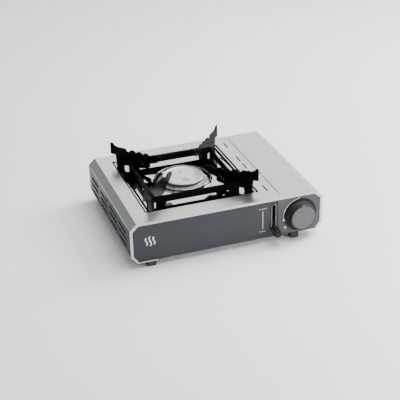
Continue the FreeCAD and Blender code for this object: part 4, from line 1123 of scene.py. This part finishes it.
@dataclass
class DripTray:
    """The bright pressed tray, with round corners and a collar around the burner."""

    wardrobe: Wardrobe
    sheet: float = 0.8 * MM
    rim: float = 5.0 * MM
    corner: float = 7.0 * MM
    least_corner: float = 1.5 * MM
    hole_radius: float = 50.0 * MM
    collar_rise: float = 4.4 * MM
    band: float = 1.2 * MM
    band_inset: float = 0.1 * MM
    band_drop: float = 0.45 * MM

    def build(self) -> None:
        """Loft the tray from rounded rings, outside and underside together."""
        low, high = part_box("drip_tray")
        centre = (Vector(low) + Vector(high)) / 2
        self.burner = middle_of("burner_cap")
        self.middle = (centre.x, centre.y)
        self.half = ((high.x - low.x) / 2, (high.y - low.y) / 2)
        top, bottom, wall, hole = high.z, low.z, self.rim, self.hole_radius
        floor = bottom + self.sheet
        collar = bottom + self.collar_rise
        shape = bmesh.new()
        loops = [[shape.verts.new(point) for point in ring] for ring in (
            self.ring(0.0, top - 0.8 * MM), self.ring(0.0, top - 0.15 * MM), self.ring(0.25 * MM, top),
            self.ring(wall - 0.9 * MM, top), self.ring(wall - 0.2 * MM, top - 0.3 * MM),
            self.ring(wall, top - 1.0 * MM), self.ring(wall, floor + 1.6 * MM),
            self.ring(wall + 0.5 * MM, floor + 0.5 * MM), self.ring(wall + 1.6 * MM, floor),
            self.ring(wall + 8.0 * MM, floor), self.circle(hole + 5.0 * MM, floor),
            self.circle(hole + 2.4 * MM, floor + 0.3 * MM), self.circle(hole + 1.0 * MM, floor + 1.6 * MM),
            self.circle(hole + self.sheet, collar + 0.5 * MM),
            self.circle(hole + 0.4 * MM, collar + 1.0 * MM),
            self.circle(hole, collar + 0.6 * MM), self.circle(hole, bottom + 0.4 * MM),
            self.circle(hole + 1.0 * MM, bottom), self.ring(wall + 1.0 * MM, bottom),
            self.ring(wall - self.sheet, bottom + 1.4 * MM), self.ring(wall - self.sheet, top - 1.4 * MM),
            self.ring(wall - 1.4 * MM, top - 0.8 * MM),
        )]
        for first, second in zip(loops, loops[1:] + loops[:1]):
            join_rings(shape, first, second)
        piece = mesh_piece("tray_pressing", shape, self.wardrobe["polished_tray"], Group.TRAY)
        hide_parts("drip_tray")
        self.edge_shade_band(top - self.band_drop)

    def edge_shade_band(self, height: float) -> None:
        """A dark band along the rim's outer edge: painted shade where the rim steps down to the ledge.

        Args:
            height: the level of the band's middle line.
        """
        path = self.ring(self.band + self.band_inset, height)
        shape = bmesh.new()
        bead(shape, path, [self.band] * len(path), UP, closed=True)
        # Painted shade: the black band stands in for the shade along the tray's edge.
        mesh_piece("tray_shade_band", shape, self.wardrobe["black_enamel"], Group.TRAY)

    def ring(self, inset: float, height: float) -> list[Vector]:
        """A rounded rectangle inside the tray's edge.

        Args:
            inset: how far inside.
            height: its level.

        Returns:
            Its points.
        """
        half = (self.half[0] - inset, self.half[1] - inset)
        corner = max(self.corner - inset, self.least_corner)
        return [Vector((x, y, height)) for x, y in rounded_box(self.middle, half, corner)]

    def circle(self, radius: float, height: float) -> list[Vector]:
        """A circle around the burner whose points face those of the rectangle.

        Args:
            radius: its radius.
            height: its level.

        Returns:
            Its points.
        """
        points = []
        for x, y in rounded_box(self.middle, self.half, self.corner):
            heading = Vector((x - self.burner.x, y - self.burner.y, 0.0)).normalized()
            points.append(Vector((self.burner.x, self.burner.y, height)) + heading * radius)
        return points


@dataclass
class Edges:
    """The bend along the left wall, coloured bright as a painted highlight, and a dark strip in the gap at
    the lid's left edge as painted shade.
    """

    wardrobe: Wardrobe
    bend_drop: float = 11.7 * MM
    bend_radius: float = 0.8 * MM
    bend_inset: float = 0.65 * MM
    bend_margin: float = 2.0 * MM
    gap_shade_radius: float = 0.6 * MM
    gap_shade_rise: float = 0.15 * MM
    gap_shade_margin: float = 9.0 * MM

    def build(self) -> None:
        """Make the bend and the seal."""
        self.bend()
        self.gap_shade()

    def bend(self) -> None:
        """The line where the left bevel meets the wall: a real bead, coloured brighter than the sheet as a
        painted highlight.
        """
        low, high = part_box("body_shell")
        x, z = low.x + self.bend_inset, high.z - self.bend_drop
        front, back = low.y + self.bend_margin, high.y - self.bend_margin
        shape = bmesh.new()
        ridge(shape, Vector((x, front, z)), Vector((x, back, z)), self.bend_radius, UP)
        mesh_piece("side_bend", shape, self.wardrobe["bend_highlight_steel"], Group.STOVE)

    def gap_shade(self) -> None:
        """A dark strip along the gap beside the lid: painted shade in the gap."""
        low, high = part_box("lid")
        x, z = low.x, high.z - self.gap_shade_radius + self.gap_shade_rise
        front, back = low.y + self.gap_shade_margin, high.y - self.gap_shade_margin
        shape = bmesh.new()
        ridge(shape, Vector((x, front, z)), Vector((x, back, z)), self.gap_shade_radius, UP)
        # Painted shade: a near-black strip that darkens the gap beside the lid.
        mesh_piece("lid_gap_shade", shape, self.wardrobe["shade_black"], Group.LID)


@dataclass
class Louvres:
    """Pressed lips under the side slots, and black sheets behind the openings as painted shade."""

    wardrobe: Wardrobe
    rows: tuple[float, ...] = (48.5 * MM, 36.5 * MM, 22.5 * MM)
    columns: tuple[float, ...] = (95 * MM, 34 * MM, -27 * MM, -88 * MM)
    half_length: float = 23.0 * MM
    lip: float = 1.7 * MM
    lip_drop: float = 2.9 * MM
    lip_inset: float = 0.35 * MM
    side_inset: Pair = (4.0 * MM, 4.6 * MM)
    side_margin: float = 12.0 * MM
    side_levels: Pair = (14.0 * MM, 58.0 * MM)
    vent_offset: float = 84.0 * MM
    vent_half: float = 7.0 * MM
    vent_margin: float = 14.0 * MM
    vent_depths: Pair = (3.4 * MM, 2.9 * MM)

    def build(self) -> None:
        """Make the lips and the black sheets of painted shade."""
        self.low, self.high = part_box("body_shell")
        self.lips()
        self.shade_sheets()

    def lips(self) -> None:
        """The pressed lip under each louvre."""
        middle = (self.low.y + self.high.y) / 2
        wall = self.low.x + self.lip_inset
        reach = Vector((0.0, self.half_length, 0.0))
        shape = bmesh.new()
        for row in self.rows:
            for column in self.columns:
                centre = Vector((wall, middle + column, self.low.z + row - self.lip_drop))
                ridge(shape, centre - reach, centre + reach, self.lip, UP)
        # The lips take the walls' painted shade, lighter as a painted highlight.
        mesh_piece("louvre_lips", shape, self.wardrobe["wall_paint"], Group.STOVE)

    def shade_sheets(self) -> None:
        """Black sheets close behind the side louvres and the top slots: painted shade where the openings
        show only shade.
        """
        low, high = self.low, self.high
        shape = bmesh.new()
        slab(shape, (low.x + self.side_inset[0], low.y + self.side_margin, low.z + self.side_levels[0]),
             (low.x + self.side_inset[1], high.y - self.side_margin, low.z + self.side_levels[1]))
        vents = (low.x + high.x) / 2 + self.vent_offset
        slab(shape, (vents - self.vent_half, low.y + self.vent_margin, high.z - self.vent_depths[0]),
             (vents + self.vent_half, high.y - self.vent_margin, high.z - self.vent_depths[1]))
        # Painted shade: these sheets make the louvres and top slots read black.
        mesh_piece("painted_shade_sheets", shape, self.wardrobe["shade_black"], Group.STOVE, False)


# ---- Studio -------------------------------------------------------------------------------------

@dataclass(frozen=True)
class SoftBox:
    """A rectangular soft light that points at a place."""

    name: str
    place: Point
    aim: Point
    size: Pair
    power: float

    def hang(self) -> None:
        """Add the light to the scene."""
        data = bpy.data.lights.new(self.name, "AREA")
        data.shape = "RECTANGLE"
        data.size, data.size_y = self.size
        data.energy = self.power
        light = bpy.data.objects.new(self.name, data)
        light.location = self.place
        heading = Vector(self.aim) - Vector(self.place)
        light.rotation_euler = heading.to_track_quat("-Z", "Y").to_euler()
        bpy.context.scene.collection.objects.link(light)


SOFT_BOXES = (
    SoftBox("top_box", (0.5, -0.1, 2.3), (0.0, 0.0, 0.05), (1.6, 1.6), 56.0),
    SoftBox("key_box", (1.5, 0.3, 1.3), (0.0, 0.0, 0.05), (1.0, 1.0), 52.0),
    SoftBox("back_box", (0.8, 2.4, 1.35), (0.0, 0.0, 0.1), (2.2, 1.0), 13.0),
    SoftBox("front_box", (0.62, -0.72, 0.22), (0.14, -0.13, 0.05), (0.4, 0.3), 6.5),
)


@dataclass
class Studio:
    """The floor, the soft lights and the camera."""

    azimuth: float = -18.91
    elevation: float = 28.17
    roll: float = -1.442
    distance: float = 1.9059
    lens: float = 93.5
    sensor: float = 36.0
    clip: Pair = (0.05, 30.0)
    shift: Pair = (-0.00605, 0.0269)
    floor_half: float = 6.0
    floor_drop: float = 0.0002
    floor_shades: Pair = (0.94, 0.96)
    bright_side: Point = (0.42, 0.55, 0.72)
    sky_strength: float = 0.9
    sky_levels: tuple[Pair, ...] = ((0.0, 0.28), (0.45, 0.42), (0.8, 0.78), (1.0, 0.82))
    sky_blue: Pair = (1.02, 1.015)

    def build(self) -> None:
        """Place everything."""
        self.floor()
        self.sky()
        for box in SOFT_BOXES:
            box.hang()
        self.camera()

    def floor(self) -> None:
        """A plain pale sweep under the stove."""
        shape = bmesh.new()
        bmesh.ops.create_grid(shape, x_segments=1, y_segments=1, size=self.floor_half)
        data = bpy.data.meshes.new("studio_floor")
        shape.to_mesh(data)
        shape.free()
        floor = bpy.data.objects.new("studio_floor", data)
        floor.location.z = CAD_LOW.z - self.floor_drop
        bpy.context.scene.collection.objects.link(floor)
        graph = Graph("floor_paper")
        dark, light = ((level, level, level) for level in self.floor_shades)
        tint = graph.blended(graph.ranged(graph.noise(Pattern(3.0, 2.0)), 0.0, 1.0), dark, light)
        graph.link(tint, graph.shader.inputs["Base Color"])
        graph.shader.inputs["Roughness"].default_value = 0.9
        graph.shader.inputs["Specular IOR Level"].default_value = 0.1
        data.materials.append(graph.material)

    def sky(self) -> None:
        """A pale surround, bright behind at the right and dim at the left and front."""
        world = bpy.data.worlds.new("studio")
        bpy.context.scene.world = world
        world.use_nodes = True
        tree = world.node_tree
        background = next(node for node in tree.nodes if node.type == "BACKGROUND")
        coordinates = tree.nodes.new("ShaderNodeTexCoord")
        facing = tree.nodes.new("ShaderNodeVectorMath")
        facing.operation = "DOT_PRODUCT"
        facing.inputs[1].default_value = self.bright_side
        ramp = tree.nodes.new("ShaderNodeValToRGB")
        tree.links.new(coordinates.outputs["Generated"], facing.inputs[0])
        tree.links.new(facing.outputs["Value"], ramp.inputs["Fac"])
        tree.links.new(ramp.outputs["Color"], background.inputs["Color"])
        stops = ramp.color_ramp.elements
        for position, _ in self.sky_levels[1:-1]:
            stops.new(position)
        end_blue, middle_blue = self.sky_blue
        for stop, (position, level) in zip(stops, self.sky_levels):
            blue = middle_blue if 0.0 < position < 1.0 else end_blue
            stop.position = position
            stop.color = (level, level, level * blue, 1.0)
        background.inputs["Strength"].default_value = self.sky_strength

    def camera(self) -> None:
        """The camera, aimed at the middle of the body's underside."""
        low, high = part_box("body_shell")
        target = Vector(((low.x + high.x) / 2, (low.y + high.y) / 2, low.z))
        azimuth, elevation, roll = (math.radians(a) for a in (self.azimuth, self.elevation, self.roll))
        back = Vector((math.sin(azimuth) * math.cos(elevation),
                       -math.cos(azimuth) * math.cos(elevation), math.sin(elevation)))
        right = UP.cross(back).normalized()
        up = back.cross(right)
        turned_right = math.cos(roll) * right + math.sin(roll) * up
        turned_up = math.cos(roll) * up - math.sin(roll) * right
        data = bpy.data.cameras.new("camera")
        data.lens = self.lens
        data.sensor_width = self.sensor
        data.shift_x, data.shift_y = self.shift
        data.clip_start, data.clip_end = self.clip
        camera = bpy.data.objects.new("camera", data)
        facing = Matrix((turned_right, turned_up, back)).transposed().to_4x4()
        camera.matrix_world = Matrix.Translation(target + back * self.distance) @ facing
        bpy.context.scene.collection.objects.link(camera)
        bpy.context.scene.camera = camera


def main() -> None:
    """Dress the stove, add its detail and set up the studio."""
    logging.basicConfig(level=logging.INFO, format="%(name)s %(message)s")
    wardrobe = Wardrobe()
    for finish, (rounding, nodes) in NODE_FINISHES.items():
        for node in nodes:
            wardrobe.dress(node, finish, rounding)
    for part in (Knob, DialMarks, LeverMarks, HeatBadge, Burner, DripTray, Edges, Louvres):
        part(wardrobe).build()
    Studio().build()


if __name__ == "__main__":
    main()
